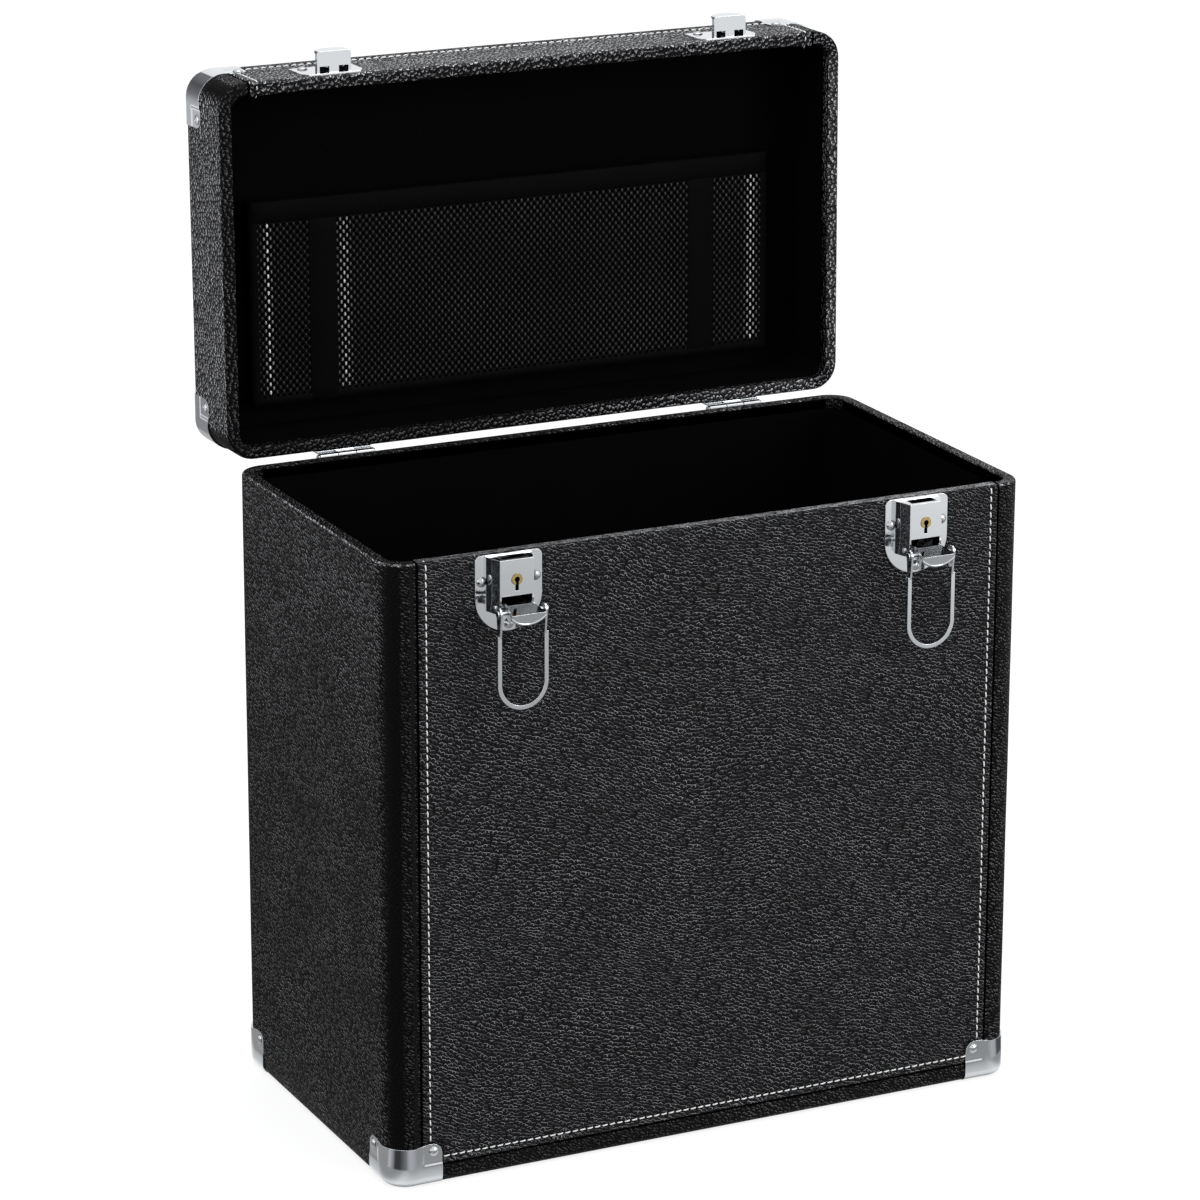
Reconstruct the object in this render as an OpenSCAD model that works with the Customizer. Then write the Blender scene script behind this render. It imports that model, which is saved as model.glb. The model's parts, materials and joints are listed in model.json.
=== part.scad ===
// Record carrying case: a deep lower tray and a shallow lid, both of plywood
// under stitched leatherette, with pressed corner protectors, two key-locking
// draw latches, two stop hinges, a mesh pocket in the lid and a carrying handle.
// Units are millimetres. The origin is the middle of the underside, +Z is up
// and -Y is the front. The lid is drawn open, on the stop of its hinges.

/* [Case body] */
// Width of the case, left to right
case_w = 348; // [330:1:370]
// Depth of the case, front to back
case_d = 192; // [170:1:230]
// Height of the lower tray, underside to rim
base_h = 319; // [290:1:340]
// Height of the lid, mouth to top
lid_h = 47.6; // [44:0.2:60]
// Radius of the four upright corners
corner_r = 14; // [12:0.5:18]
// Radius of the edges round the underside and the lid's top
edge_r = 4; // [3:0.5:5]
// Thickness of the plywood
ply_t = 5; // [4:0.5:6]
// Thickness of the leatherette
skin_t = 0.8; // [0.6:0.1:1]
// Thickness of the inner lining
lining_t = 0.7; // [0.5:0.1:1]
// Gap between the rim and the closed lid
rim_gap = 0.4; // [0.3:0.1:0.8]

/* [Stitched front panel] */
// Distance of the panel's side seams from the sides of the case
seam_inset = 16.3; // [15:0.1:24]
// Height of the panel's lower seam over the underside
seam_height = 10.6; // [8:0.1:20]
// Thickness of the panel
panel_t = 0.5; // [0.3:0.1:0.6]

/* [Corner protectors] */
// Reach of a protector along each face
protector_reach = 26.5; // [25:0.5:30]
// Height of a protector
protector_h = 22; // [20:0.5:26]
// Thickness of the pressed sheet
protector_t = 0.8; // [0.6:0.1:1]
// Distance of a protector's rivets from the side of the case
protector_rivet = 22; // [21:0.5:24]

/* [Draw latches] */
// Distance of each latch from the middle of the case
latch_x = 111; // [90:1:120]
// Width of the backplate
plate_w = 35; // [33:0.5:38]
// Length of the straight part of the backplate
plate_straight = 21.5; // [20:0.5:24]
// Width of the lock housing
housing_w = 17.7; // [17:0.1:19]
// Height of the housing's front face
housing_h = 18; // [17:0.5:19]
// How far the housing stands off the backplate
housing_depth = 9.5; // [9:0.1:10]
// Radius of the lock cylinder
lock_r = 2.8; // [2.4:0.1:3.2]
// Angle that the lever stands open from its closed place
lever_open = 79; // [60:1:82]
// Length of the bail from its pivot to the end of its loop
bail_length = 48.6; // [47:0.1:50]
// Width of the bail over its legs
bail_w = 26.4; // [26:0.1:27]

/* [Stop hinges] */
// Angle at which the open lid rests on the hinge stops
lid_open = 91; // [88:0.5:94]
// Distance of the hinge pins behind the back of the case
hinge_back = 3.2; // [3.1:0.1:4]
// Distance of the hinge pins below the lid's mouth
hinge_below = 2.4; // [2.2:0.1:3]
// Radius of a hinge pin
hinge_pin_r = 1.5; // [1.3:0.1:1.6]
// Width of a hinge leaf
leaf_w = 30; // [28:1:36]

/* [Handle] */
// Distance between the middles of the two handle brackets
handle_span = 124; // [110:1:140]
// Radius of the wire of the handle links
link_r = 2; // [1.8:0.1:2.2]
// Height of the grip's middle over its pivot
grip_rise = 32; // [30:1:36]
// Width of the grip at its middle
grip_w = 20; // [18:0.5:22]

/* [Mesh pocket] */
// Width of the pocket
pocket_w = 294; // [270:1:300]
// Distance of the pocket's mouth from the front of the lid
pocket_top = 67; // [60:1:80]
// Height of the pocket, from its mouth to its lower edge
pocket_h = 106; // [95:1:110]
// Depth of the pocket
pocket_depth = 10; // [9:0.5:12]
// Spacing of the mesh openings along the width
mesh_pitch = 9.4; // [9:0.1:12]

/* [Hidden] */
$fn = 48;

front_y = -case_d / 2;
back_y = case_d / 2;
wall_t = skin_t + ply_t + lining_t;
lid_mouth = base_h + rim_gap;
lid_top = lid_mouth + lid_h;
hinge_y = back_y + hinge_back;
hinge_z = lid_mouth - hinge_below;

// Rivets: domed head over a shank that ends inside the plywood
rivet_r = 2.6;
rivet_rise = 1.3;
shank_r = 1.4;
shank_bite = 3.5;
hole_slack = 0.05;

// Corner protectors
ear_r = 5.5;
scallop_r = 40;
scallop_dip = 1.5;
pad_step = 0.4;
pad_w = 10;
pad_z = 11;
protector_rivet_z = 18;

// Latch, measured from the middle of its top edge on the case's front
plate_t = 1;
plate_drop = 0.3;
plate_rivets = [[-14.2, -13.2], [14.2, -13.2], [0, -35.4]];
housing_top = -1;
housing_t = 0.9;
housing_taper = 3;
cheek_bottom = -28;
lock_z = -11;
lever_y = -7;
lever_z = -25;
lever_pin_r = 1.2;
running = 0.06;
lever_face = 4;
lever_t = 1.1;
lever_len = 17;
lever_top_w = 11;
lever_tip_w = 18;
lever_heel = 5.6;
bail_hang = [-1.5, -9];
bail_pin_r = 0.9;
bail_strip = 2;
bail_depth = 2.6;
ear_t = 1;
ear_len = 11;
cam_len = 9.4;
cam_y = -3.4;
cam_t = 1.2;
top_slot_w = 14;
key_slot_w = 1.8;

// Catch on the lid, measured from the middle of its lower edge on the mouth
catch_w = 34;
catch_h = 20;
catch_low = 2;
boss_w = 18.3;
boss_r = 10.85;
boss_arc_z = 1;
boss_out = 12;
boss_low = 3;
boss_t = 1;
boss_gap = 3.3;
neck = 0.6;
catch_rivets_at = [[-11, 18], [11, 18]];

// Hinges
leaf_t = 1.2;
leaf_h = 26;
knuckle_r = 2.7;
knuckle_len = 10;
leaf_clear = 0.4;
stop_reach = 7;
stop_w = 8;
leaf_rivets = [[-9, 10], [9, 10], [0, 20]];

// Handle, measured from the pivot line of its links
bracket_w = 26;
bracket_d = 22;
bracket_t = 1.2;
pivot_rise = 5;
tube_r = 3.6;
tube_len = 10;
link_w = 22;
link_h = 15;
tab_start = 10;
grip_thick = 18;
rest_slack = 0.3;
bracket_rivets = [[-9, -7.5], [9, -7.5], [-9, 7.5], [9, 7.5]];
grip_rings = 33;
grip_sides = 16;

// Pocket
pocket_sheet = 0.6;
pocket_tape_t = 0.8;
band_h = 11.5;
tape_w = 16;
tape_x = 108;
mesh_row = 8;
mesh_hole_r = 3.2;
mesh_margin = 7;
gusset_t = 1;

function turned(p, a) = [p[0] * cos(a) + p[1] * sin(a), -p[0] * sin(a) + p[1] * cos(a)];
bail_at = [lever_y, lever_z] + turned(bail_hang, lever_open);

// ---- Placing ----

module on_lid()
    translate([0, hinge_y, hinge_z])
        rotate([-lid_open, 0, 0])
            translate([0, -hinge_y, -hinge_z])
                children();

// Turns a tray upside down, to sit as the closed lid
module as_lid()
    translate([0, 0, lid_top])
        mirror([0, 0, 1])
            children();

module at_latch(side) translate([side * latch_x, front_y, base_h]) children();
module at_catch(side) translate([side * latch_x, front_y, lid_mouth]) children();
module at_hinge(side) translate([side * latch_x, hinge_y, hinge_z]) children();
module at_bracket(side) translate([side * handle_span / 2, 0, lid_top]) children();

module at_lever(side)
    at_latch(side)
        translate([0, lever_y, lever_z])
            rotate([-lever_open, 0, 0])
                children();

// The grip leans back until it rests just clear of the lid's top
grip_lean = acos((grip_w / 2 + rest_slack - pivot_rise) / grip_rise);
module at_handle()
    translate([0, 0, lid_top + pivot_rise])
        rotate([-grip_lean, 0, 0])
            children();

module facing_front() rotate([90, 0, 0]) children();
module facing_back() rotate([-90, 0, 0]) children();
module facing_side(side) rotate([0, side * 90, 0]) children();

// ---- Shared forms ----

module rounded_rect(w, d, r) {
    square([w - 2 * r, d], center = true);
    square([w, d - 2 * r], center = true);
    for (x = [-1, 1], y = [-1, 1])
        translate([x * (w / 2 - r), y * (d / 2 - r)])
            circle(r);
}

// Upright outline of a tray, with its two lower edges rounded
module tray_outline(w, low, high, r) {
    translate([-w / 2 + r, low])
        square([w - 2 * r, high - low]);
    translate([-w / 2, low + r])
        square([w, high - low - r]);
    for (x = [-1, 1])
        translate([x * (w / 2 - r), low + r])
            circle(r);
}

// A block with round upright corners and rounded lower edges, grown or shrunk
module tray_block(grow, low, high) {
    w = case_w + 2 * grow;
    d = case_d + 2 * grow;
    intersection() {
        translate([0, 0, low])
            linear_extrude(high - low)
                rounded_rect(w, d, corner_r + grow);
        rotate([90, 0, 0])
            translate([0, 0, -d])
                linear_extrude(2 * d)
                    tray_outline(w, low, high, edge_r + grow);
        rotate([90, 0, 90])
            translate([0, 0, -w])
                linear_extrude(2 * w)
                    tray_outline(d, low, high, edge_r + grow);
    }
}

// A plain upright block inside the walls
module inner_block(inset, low, high)
    translate([0, 0, low])
        linear_extrude(high - low)
            rounded_rect(case_w - 2 * inset, case_d - 2 * inset, corner_r - inset);

// Domed head on the XY plane with its shank below
module rivet(shank) {
    ball_r = (rivet_r * rivet_r + rivet_rise * rivet_rise) / (2 * rivet_rise);
    intersection() {
        translate([0, 0, rivet_rise - ball_r])
            sphere(ball_r);
        cylinder(r = 2 * rivet_r, h = 2 * rivet_rise);
    }
    translate([0, 0, -shank])
        cylinder(r = shank_r, h = shank + 0.01);
}

module rivet_hole(shank)
    translate([0, 0, -shank - hole_slack])
        cylinder(r = shank_r + hole_slack, h = shank + 3 * rivet_rise);

// ---- Trays ----

module front_panel_shape(slack, h) {
    w = case_w - 2 * (seam_inset - slack);
    translate([-w / 2, front_y, seam_height - slack])
        cube([w, panel_t, h - seam_height + slack]);
    translate([-w / 2, front_y, h - panel_t])
        cube([w, wall_t, panel_t]);
}

module tray_walls(h)
    difference() {
        tray_block(-skin_t, skin_t, h - skin_t);
        inner_block(skin_t + ply_t, -1, h + 1);
        corner_rivet_spots() rivet_hole(corner_shank);
    }

module tray_board()
    inner_block(skin_t + ply_t, skin_t, skin_t + ply_t);

module tray_covering(h)
    difference() {
        union() {
            difference() {
                tray_block(0, 0, h);
                all_corner_zones();
            }
            intersection() {
                tray_block(0, protector_t, h);
                all_corner_zones();
            }
        }
        tray_block(-skin_t, skin_t, h - skin_t);
        inner_block(wall_t, h - 2 * skin_t, h + 1);
        front_panel_shape(0.3, h + 1);
        front_panel_shape(0.3, h);
        corner_rivet_spots() rivet_hole(corner_shank);
    }

module tray_lining(h)
    difference() {
        inner_block(skin_t + ply_t, skin_t + ply_t, h - skin_t);
        inner_block(wall_t, wall_t, h + 1);
    }

// ---- Corner protectors ----

corner_shank = pad_step + skin_t + shank_bite;

module at_corner(x_side, y_side)
    translate([x_side * case_w / 2, y_side * case_d / 2, 0])
        scale([-x_side, -y_side, 1])
            children();

// One face of a protector: its free upper corner is an ear
module ear_outline() {
    out = 3;
    translate([-out, -out])
        square([protector_reach + out, protector_h - ear_r + out]);
    translate([-out, -out])
        square([protector_reach - ear_r + out, protector_h + out]);
    translate([protector_reach - ear_r, protector_h - ear_r])
        circle(ear_r);
}

// Space that a protector takes, with the case's corner at the origin
module corner_zone() {
    out = 3;
    fold = edge_r + 3;
    intersection() {
        translate([0, 0, -out])
            linear_extrude(protector_h + 2 * out)
                polygon([
                    [-out, -out], [protector_reach, -out], [protector_reach, fold],
                    [fold, protector_reach], [-out, protector_reach]
                ]);
        translate([0, 2 * protector_reach, 0])
            rotate([90, 0, 0])
                linear_extrude(3 * protector_reach)
                    ear_outline();
        translate([-protector_reach, 0, 0])
            rotate([90, 0, 90])
                linear_extrude(3 * protector_reach)
                    ear_outline();
    }
}

module all_corner_zones()
    for (x_side = [-1, 1], y_side = [-1, 1])
        at_corner(x_side, y_side) corner_zone();

// Flattened pads round the rivets, and the dip between the ears
module protector_cuts() {
    far = 2 * protector_reach;
    translate([protector_reach - pad_w, -protector_t - 1, pad_z])
        cube([far, 1 + pad_step, far]);
    translate([-protector_t - 1, protector_reach - pad_w, pad_z])
        cube([1 + pad_step, far, far]);
    translate([0, 0, protector_h + scallop_r - scallop_dip])
        rotate([90, 0, -45])
            cylinder(r = scallop_r, h = far, center = true, $fn = 120);
}

module protector(x_side, y_side)
    color("silver")
        difference() {
            intersection() {
                difference() {
                    tray_block(protector_t, 0, base_h / 2);
                    tray_block(0, protector_t, base_h);
                }
                at_corner(x_side, y_side) corner_zone();
            }
            at_corner(x_side, y_side) protector_cuts();
            corner_rivet_spots() rivet_hole(corner_shank);
        }

module corner_rivet_spots() {
    off = protector_t - pad_step;
    for (x_side = [-1, 1]) {
        x = x_side * (case_w / 2 - protector_rivet);
        translate([x, front_y - off, protector_rivet_z]) facing_front() children();
        translate([x, back_y + off, protector_rivet_z]) facing_back() children();
        for (y_side = [-1, 1])
            translate([
                x_side * (case_w / 2 + off),
                y_side * (case_d / 2 - protector_rivet),
                protector_rivet_z
            ])
                facing_side(x_side) children();
    }
}

// ---- Base ----

module base_walls()
    color("burlywood")
        difference() {
            tray_walls(base_h);
            base_fitting_spots() rivet_hole(fitting_shank);
        }

module base_floor() color("tan") tray_board();

module base_covering()
    color([0.1, 0.1, 0.11])
        difference() {
            tray_covering(base_h);
            base_fitting_spots() rivet_hole(fitting_shank);
        }

module base_front_panel()
    color([0.14, 0.14, 0.15])
        difference() {
            front_panel_shape(0, base_h);
            base_fitting_spots() rivet_hole(fitting_shank);
            corner_rivet_spots() rivet_hole(corner_shank);
        }

module base_lining() color([0.05, 0.05, 0.06]) tray_lining(base_h);

module base_corner_rivets()
    color("gainsboro") corner_rivet_spots() rivet(corner_shank);

fitting_shank = plate_t + skin_t + shank_bite;

module latch_rivet_spots()
    for (side = [-1, 1], p = plate_rivets)
        at_latch(side)
            translate([p[0], -plate_t, p[1]])
                facing_front() children();

module hinge_base_spots()
    for (side = [-1, 1], p = leaf_rivets)
        at_hinge(side)
            translate([p[0], leaf_t - hinge_back, -p[1]])
                facing_back() children();

module base_fitting_spots() {
    latch_rivet_spots() children();
    hinge_base_spots() children();
}

// ---- Draw latches ----

module latch_plate_outline() {
    corner = 3;
    translate([-plate_w / 2, -plate_straight])
        square([plate_w, plate_straight - corner - plate_drop]);
    translate([-plate_w / 2 + corner, -plate_straight])
        square([plate_w - 2 * corner, plate_straight - plate_drop]);
    for (x = [-1, 1])
        translate([x * (plate_w / 2 - corner), -corner - plate_drop])
            circle(corner);
    translate([0, -plate_straight])
        circle(plate_w / 2, $fn = 96);
}

module latch_plate(side)
    color("silver")
        difference() {
            at_latch(side)
                facing_front()
                    linear_extrude(plate_t)
                        latch_plate_outline();
            latch_rivet_spots() rivet_hole(fitting_shank);
        }

module latch_rivets()
    color("gainsboro") latch_rivet_spots() rivet(fitting_shank);

// Side of the housing: the cheek runs on below the front face to hold the lever
module cheek_outline() {
    front = -plate_t - housing_depth;
    nose = 3.4;
    translate([front, housing_top - housing_h])
        square([housing_depth, housing_h]);
    translate([lever_y - nose, cheek_bottom + nose])
        square([-plate_t - lever_y + nose, housing_top - cheek_bottom - nose]);
    translate([lever_y, cheek_bottom])
        square([-plate_t - lever_y, housing_top - cheek_bottom]);
    translate([lever_y, cheek_bottom + nose])
        circle(nose);
}

// Plan of the housing, narrower at its front than at the backplate
module housing_plan(inset, reach) {
    slope = housing_taper / housing_depth;
    front = -plate_t - housing_depth;
    half = housing_w / 2 - inset;
    polygon([
        [-half + slope * reach, front - reach], [half - slope * reach, front - reach],
        [half + housing_taper, -plate_t], [-half - housing_taper, -plate_t]
    ]);
}

module lock_housing(side) {
    front = -plate_t - housing_depth;
    color("silver")
        at_latch(side)
            difference() {
                intersection() {
                    translate([-housing_w, 0, 0])
                        rotate([90, 0, 90])
                            linear_extrude(2 * housing_w)
                                cheek_outline();
                    translate([0, 0, cheek_bottom - 1])
                        linear_extrude(2 - cheek_bottom)
                            housing_plan(0, 0);
                }
                // Hollow, open below for the lever
                intersection() {
                    translate([0, 0, cheek_bottom - 2])
                        linear_extrude(housing_top - housing_t - cheek_bottom + 2)
                            housing_plan(housing_t, 0);
                    translate([-housing_w, front + housing_t, 2 * cheek_bottom])
                        cube([2 * housing_w, housing_depth, -2 * cheek_bottom]);
                }
                translate([0, 0, cheek_bottom - 2])
                    linear_extrude(housing_top - housing_h - cheek_bottom + 2)
                        housing_plan(housing_t, 1);
                // Slot across the top
                translate([-top_slot_w / 2, front + 1.9, housing_top - 2 * housing_t])
                    cube([top_slot_w, housing_depth - 3, 3 * housing_t]);
                // Key opening: round for the cylinder, with a slot below
                translate([0, front, lock_z])
                    facing_front()
                        cylinder(r = lock_r + running, h = 4 * housing_t, center = true);
                translate([-key_slot_w / 2, front - 1, lock_z - 5.6])
                    cube([key_slot_w, 1 + 2 * housing_t, 5]);
                translate([0, lever_y, lever_z])
                    rotate([0, 90, 0])
                        cylinder(r = lever_pin_r + 0.01, h = 2 * housing_w, center = true);
            }
}

// Cylinder with a round keyhole that runs out below as a slot
module lock_cylinder(side) {
    front = -plate_t - housing_depth - 0.4;
    keyhole_r = 1.35;
    keyway = 1.5;
    keyway_depth = 4;
    color("goldenrod")
        at_latch(side)
            difference() {
                translate([0, cam_y - cam_t, lock_z])
                    facing_front()
                        cylinder(r = lock_r, h = cam_y - cam_t - front);
                translate([0, front + keyway_depth, lock_z])
                    facing_front()
                        cylinder(r = keyhole_r, h = 2 * keyway_depth);
                translate([-keyway / 2, front - keyway_depth, lock_z - 2 * lock_r])
                    cube([keyway, 2 * keyway_depth, 2 * lock_r]);
            }
}

// The cam points to the middle of the case while the latch is unlocked
module lock_cam(side)
    color("gray")
        at_latch(side)
            translate([0, cam_y, lock_z])
                facing_front()
                    linear_extrude(cam_t)
                        scale([-side, 1]) {
                            circle(2.6);
                            translate([0, -1.6])
                                square([cam_len - 1.6, 3.2]);
                            translate([cam_len - 1.6, 0])
                                circle(1.6);
                        }

module lever_pin(side)
    color("gainsboro")
        at_latch(side)
            translate([0, lever_y, lever_z])
                rotate([0, 90, 0])
                    cylinder(r = lever_pin_r, h = housing_w + housing_taper, center = true);

// The lever, drawn closed: it hangs from its pin, and -Y is its outer face
function lever_half(u) =
    (lever_top_w + (lever_tip_w - lever_top_w) * max(0, u) / lever_len) / 2;

module lever_blade() {
    tip = lever_len - lever_t / 2;
    polygon([
        [-lever_half(0), 3], [lever_half(0), 3], [lever_half(0), 0],
        [lever_half(tip), -tip], [-lever_half(tip), -tip],
        [-lever_half(0), 0]
    ]);
}

module lever_flanges() {
    end = 12.5;
    for (side = [-1, 1])
        scale([side, 1])
            polygon([
                [lever_half(0) - lever_t, 2], [lever_half(0), 2], [lever_half(0), 0],
                [lever_half(end), -end], [lever_half(end) - lever_t, -end],
                [lever_half(0) - lever_t, 0]
            ]);
}

module lever(side) {
    lip_r = 13.05;
    lip_low = 6;
    bead_r = 0.75;
    color("silver")
        at_lever(side)
            difference() {
                union() {
                    // Blade and its two side flanges
                    translate([0, lever_t - lever_face, 0])
                        facing_front()
                            linear_extrude(lever_t)
                                lever_blade();
                    translate([0, 2, 0])
                        facing_front()
                            linear_extrude(lever_face + 2 - lever_t / 2)
                                lever_flanges();
                    // Turned-in lip with a rounded, beaded edge
                    intersection() {
                        translate([0, lip_low - lever_face - lip_r, lever_t / 2 - lever_len])
                            rotate_extrude($fn = 120) {
                                translate([0, -lever_t / 2])
                                    square([lip_r, lever_t]);
                                translate([lip_r - 0.4, 0])
                                    circle(bead_r, $fn = 24);
                            }
                        translate([-lever_tip_w / 2, -lever_face, -lever_len - 2])
                            cube([lever_tip_w, 2 * lip_low, 4]);
                    }
                    // Barrel round the pin, and the heel that the lock holds
                    rotate([0, 90, 0])
                        cylinder(r = 2.4, h = lever_top_w + 4.4, center = true);
                    rotate([0, 90, 0])
                        cylinder(r = lever_face - 0.2, h = lever_top_w - 0.2, center = true);
                    translate([-3, -0.8, 0])
                        cube([6, 1.6, lever_heel]);
                }
                rotate([0, 90, 0])
                    cylinder(r = lever_pin_r + running, h = 40, center = true);
                translate([0, bail_hang[0], bail_hang[1]])
                    rotate([0, 90, 0])
                        cylinder(r = bail_pin_r + running, h = 40, center = true);
            }
}

module at_bail(side)
    at_latch(side)
        translate([0, bail_at[0], bail_at[1]])
            children();

module bail_pin(side) {
    head = 0.7;
    color("gainsboro")
        at_bail(side)
            rotate([0, 90, 0]) {
                cylinder(r = bail_pin_r, h = bail_w - 2 * bail_strip + 2 * ear_t + 1, center = true);
                for (end = [-1, 1])
                    translate([0, 0, end * (bail_w / 2 - bail_strip + ear_t + 0.15 + head / 2)])
                        cylinder(r = 1.6, h = head, center = true);
            }
}

// The bail hangs from its pivot: flat ears, square legs and a round loop
module bail(side) {
    inner = bail_w / 2 - bail_strip;
    loop_z = bail_w / 2 - bail_length;
    ear_r = 2.7;
    color("silver")
        at_bail(side) {
            difference() {
                union() {
                    for (end = [-1, 1]) {
                        translate([end * (inner + ear_t / 2) - ear_t / 2, 0, 0])
                            rotate([90, 0, 90])
                                linear_extrude(ear_t) {
                                    circle(ear_r);
                                    polygon([
                                        [-ear_r, 0], [ear_r, 0],
                                        [bail_depth / 2, -ear_len - 1],
                                        [-bail_depth / 2, -ear_len - 1]
                                    ]);
                                }
                        translate([
                            end * (inner + bail_strip / 2) - bail_strip / 2,
                            -bail_depth / 2,
                            loop_z
                        ])
                            cube([bail_strip, bail_depth, -ear_len - loop_z]);
                    }
                    translate([0, 0, loop_z])
                        rotate([90, 0, 0])
                            intersection() {
                                cylinder(r = bail_w / 2, h = bail_depth, center = true, $fn = 96);
                                translate([-bail_w, -bail_w, -bail_w])
                                    cube([2 * bail_w, bail_w, 2 * bail_w]);
                            }
                }
                translate([0, 0, loop_z])
                    rotate([90, 0, 0])
                        cylinder(r = inner, h = 2 * bail_depth, center = true, $fn = 96);
                rotate([0, 90, 0])
                    cylinder(r = bail_pin_r + running, h = 2 * bail_w, center = true);
            }
        }
}

// ---- Catches on the lid ----

module boss_outline(top_inset, side_inset)
    intersection() {
        translate([0, boss_arc_z])
            circle(boss_r - top_inset, $fn = 96);
        translate([side_inset - boss_w / 2, boss_low])
            square([boss_w - 2 * side_inset, boss_w]);
    }

// Plan of the boss, with rounded outer corners
module boss_plan() {
    corner = 1.6;
    translate([-boss_w / 2, corner - boss_out])
        square([boss_w, boss_out]);
    translate([corner - boss_w / 2, -boss_out])
        square([boss_w - 2 * corner, boss_out]);
    for (x = [-1, 1])
        translate([x * (boss_w / 2 - corner), corner - boss_out])
            circle(corner);
}

module catch(side)
    color("silver")
        on_lid()
            difference() {
                at_catch(side)
                    difference() {
                        union() {
                            // Plate with its two near corners cut
                            facing_front()
                                linear_extrude(plate_t)
                                    polygon([
                                        [-catch_w / 2, catch_low + 5],
                                        [-catch_w / 2 + 3, catch_low],
                                        [catch_w / 2 - 3, catch_low],
                                        [catch_w / 2, catch_low + 5],
                                        [catch_w / 2, catch_low + catch_h],
                                        [-catch_w / 2, catch_low + catch_h]
                                    ]);
                            // Boss with a head that stands out over its far side for the bail
                            intersection() {
                                union() {
                                    facing_front()
                                        linear_extrude(boss_out)
                                            boss_outline(neck, 0);
                                    translate([0, boss_t - boss_out, 0])
                                        facing_front()
                                            linear_extrude(boss_t)
                                                boss_outline(0, 0);
                                }
                                linear_extrude(2 * boss_w)
                                    boss_plan();
                            }
                        }
                        // Hollow behind, and open below beside a tab
                        translate([0, 0.2, 0])
                            facing_front()
                                linear_extrude(boss_out - boss_t + 0.2)
                                    intersection() {
                                        boss_outline(neck + boss_t, boss_t);
                                        translate([-boss_w, boss_low + boss_t])
                                            square([2 * boss_w, boss_w]);
                                    }
                        for (x = [-1, 1])
                            translate([x * 5.2 - 2.6, -boss_gap - plate_t, boss_low - 1])
                                cube([5.2, boss_gap, 2 + boss_t]);
                    }
                catch_rivet_spots() rivet_hole(fitting_shank);
            }

module catch_rivet_spots()
    for (side = [-1, 1], p = catch_rivets_at)
        at_catch(side)
            translate([p[0], -plate_t, p[1]])
                facing_front() children();

module catch_rivets()
    color("gainsboro") on_lid() catch_rivet_spots() rivet(fitting_shank);

// ---- Stop hinges, drawn closed ----

// Leaf on the back of the tray; up is -1 for the base's leaf and 1 for the lid's
module hinge_leaf(up, knuckles) {
    face = -hinge_back;
    clear = knuckle_r + leaf_clear;
    seat = up > 0 ? hinge_below : clear;
    difference() {
        union() {
            translate([-leaf_w / 2, face, up > 0 ? seat : -leaf_h])
                cube([leaf_w, leaf_t, leaf_h - seat]);
            for (x = knuckles) {
                translate([x - knuckle_len / 2 + 0.2, 0, 0])
                    rotate([0, 90, 0])
                        cylinder(r = knuckle_r, h = knuckle_len - 0.4);
                translate([
                    x - knuckle_len / 2 + 0.2,
                    face + leaf_clear,
                    up > 0 ? 0 : -seat - 1
                ])
                    cube([knuckle_len - 0.4, leaf_t, seat + 1]);
            }
        }
        rotate([0, 90, 0])
            cylinder(r = hinge_pin_r + running, h = 2 * leaf_w, center = true);
        // Room for the other leaf's knuckles
        for (x = [-1, 0, 1])
            if (len(search(x * knuckle_len, knuckles)) == 0)
                translate([x * knuckle_len, 0, 0])
                    rotate([0, 90, 0])
                        cylinder(r = clear, h = knuckle_len + 0.01, center = true);
    }
}

module hinge_base_leaf(side)
    color("silver")
        difference() {
            at_hinge(side) hinge_leaf(-1, [-knuckle_len, knuckle_len]);
            hinge_base_spots() rivet_hole(fitting_shank);
        }

module hinge_lid_leaf(side)
    color("silver")
        on_lid()
            difference() {
                at_hinge(side) {
                    hinge_leaf(1, [0]);
                    // The stop meets the base's leaf when the lid is open
                    difference() {
                        translate([-stop_w / 2, 0, -1.55])
                            cube([stop_w, stop_reach, 1.5]);
                        rotate([0, 90, 0])
                            cylinder(r = hinge_pin_r + running, h = leaf_w, center = true);
                    }
                }
                hinge_lid_spots() rivet_hole(fitting_shank);
            }

module hinge_lid_spots()
    for (side = [-1, 1], p = leaf_rivets)
        at_hinge(side)
            translate([p[0], leaf_t - hinge_back, p[1]])
                facing_back() children();

module hinge_pin(side)
    color("gainsboro")
        at_hinge(side)
            rotate([0, 90, 0]) {
                cylinder(r = hinge_pin_r, h = 3 * knuckle_len, center = true);
                for (end = [-1, 1])
                    translate([0, 0, end * (1.5 * knuckle_len + 0.3)])
                        cylinder(r = 2.2, h = 0.6, center = true);
            }

module hinge_base_rivets()
    color("gainsboro") hinge_base_spots() rivet(fitting_shank);

module hinge_lid_rivets()
    color("gainsboro") on_lid() hinge_lid_spots() rivet(fitting_shank);

// ---- Lid ----

module lid_fitting_spots() {
    catch_rivet_spots() children();
    hinge_lid_spots() children();
    handle_rivet_spots() children();
}

module lid_walls()
    color("burlywood")
        on_lid()
            difference() {
                as_lid() tray_walls(lid_h);
                lid_fitting_spots() rivet_hole(fitting_shank);
            }

module lid_top_board()
    color("tan")
        on_lid()
            difference() {
                as_lid() tray_board();
                lid_fitting_spots() rivet_hole(fitting_shank);
            }

module lid_covering()
    color([0.1, 0.1, 0.11])
        on_lid()
            difference() {
                as_lid() tray_covering(lid_h);
                lid_fitting_spots() rivet_hole(fitting_shank);
            }

module lid_front_panel()
    color([0.14, 0.14, 0.15])
        on_lid()
            difference() {
                as_lid()
                    difference() {
                        front_panel_shape(0, lid_h);
                        corner_rivet_spots() rivet_hole(corner_shank);
                    }
                lid_fitting_spots() rivet_hole(fitting_shank);
            }

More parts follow.
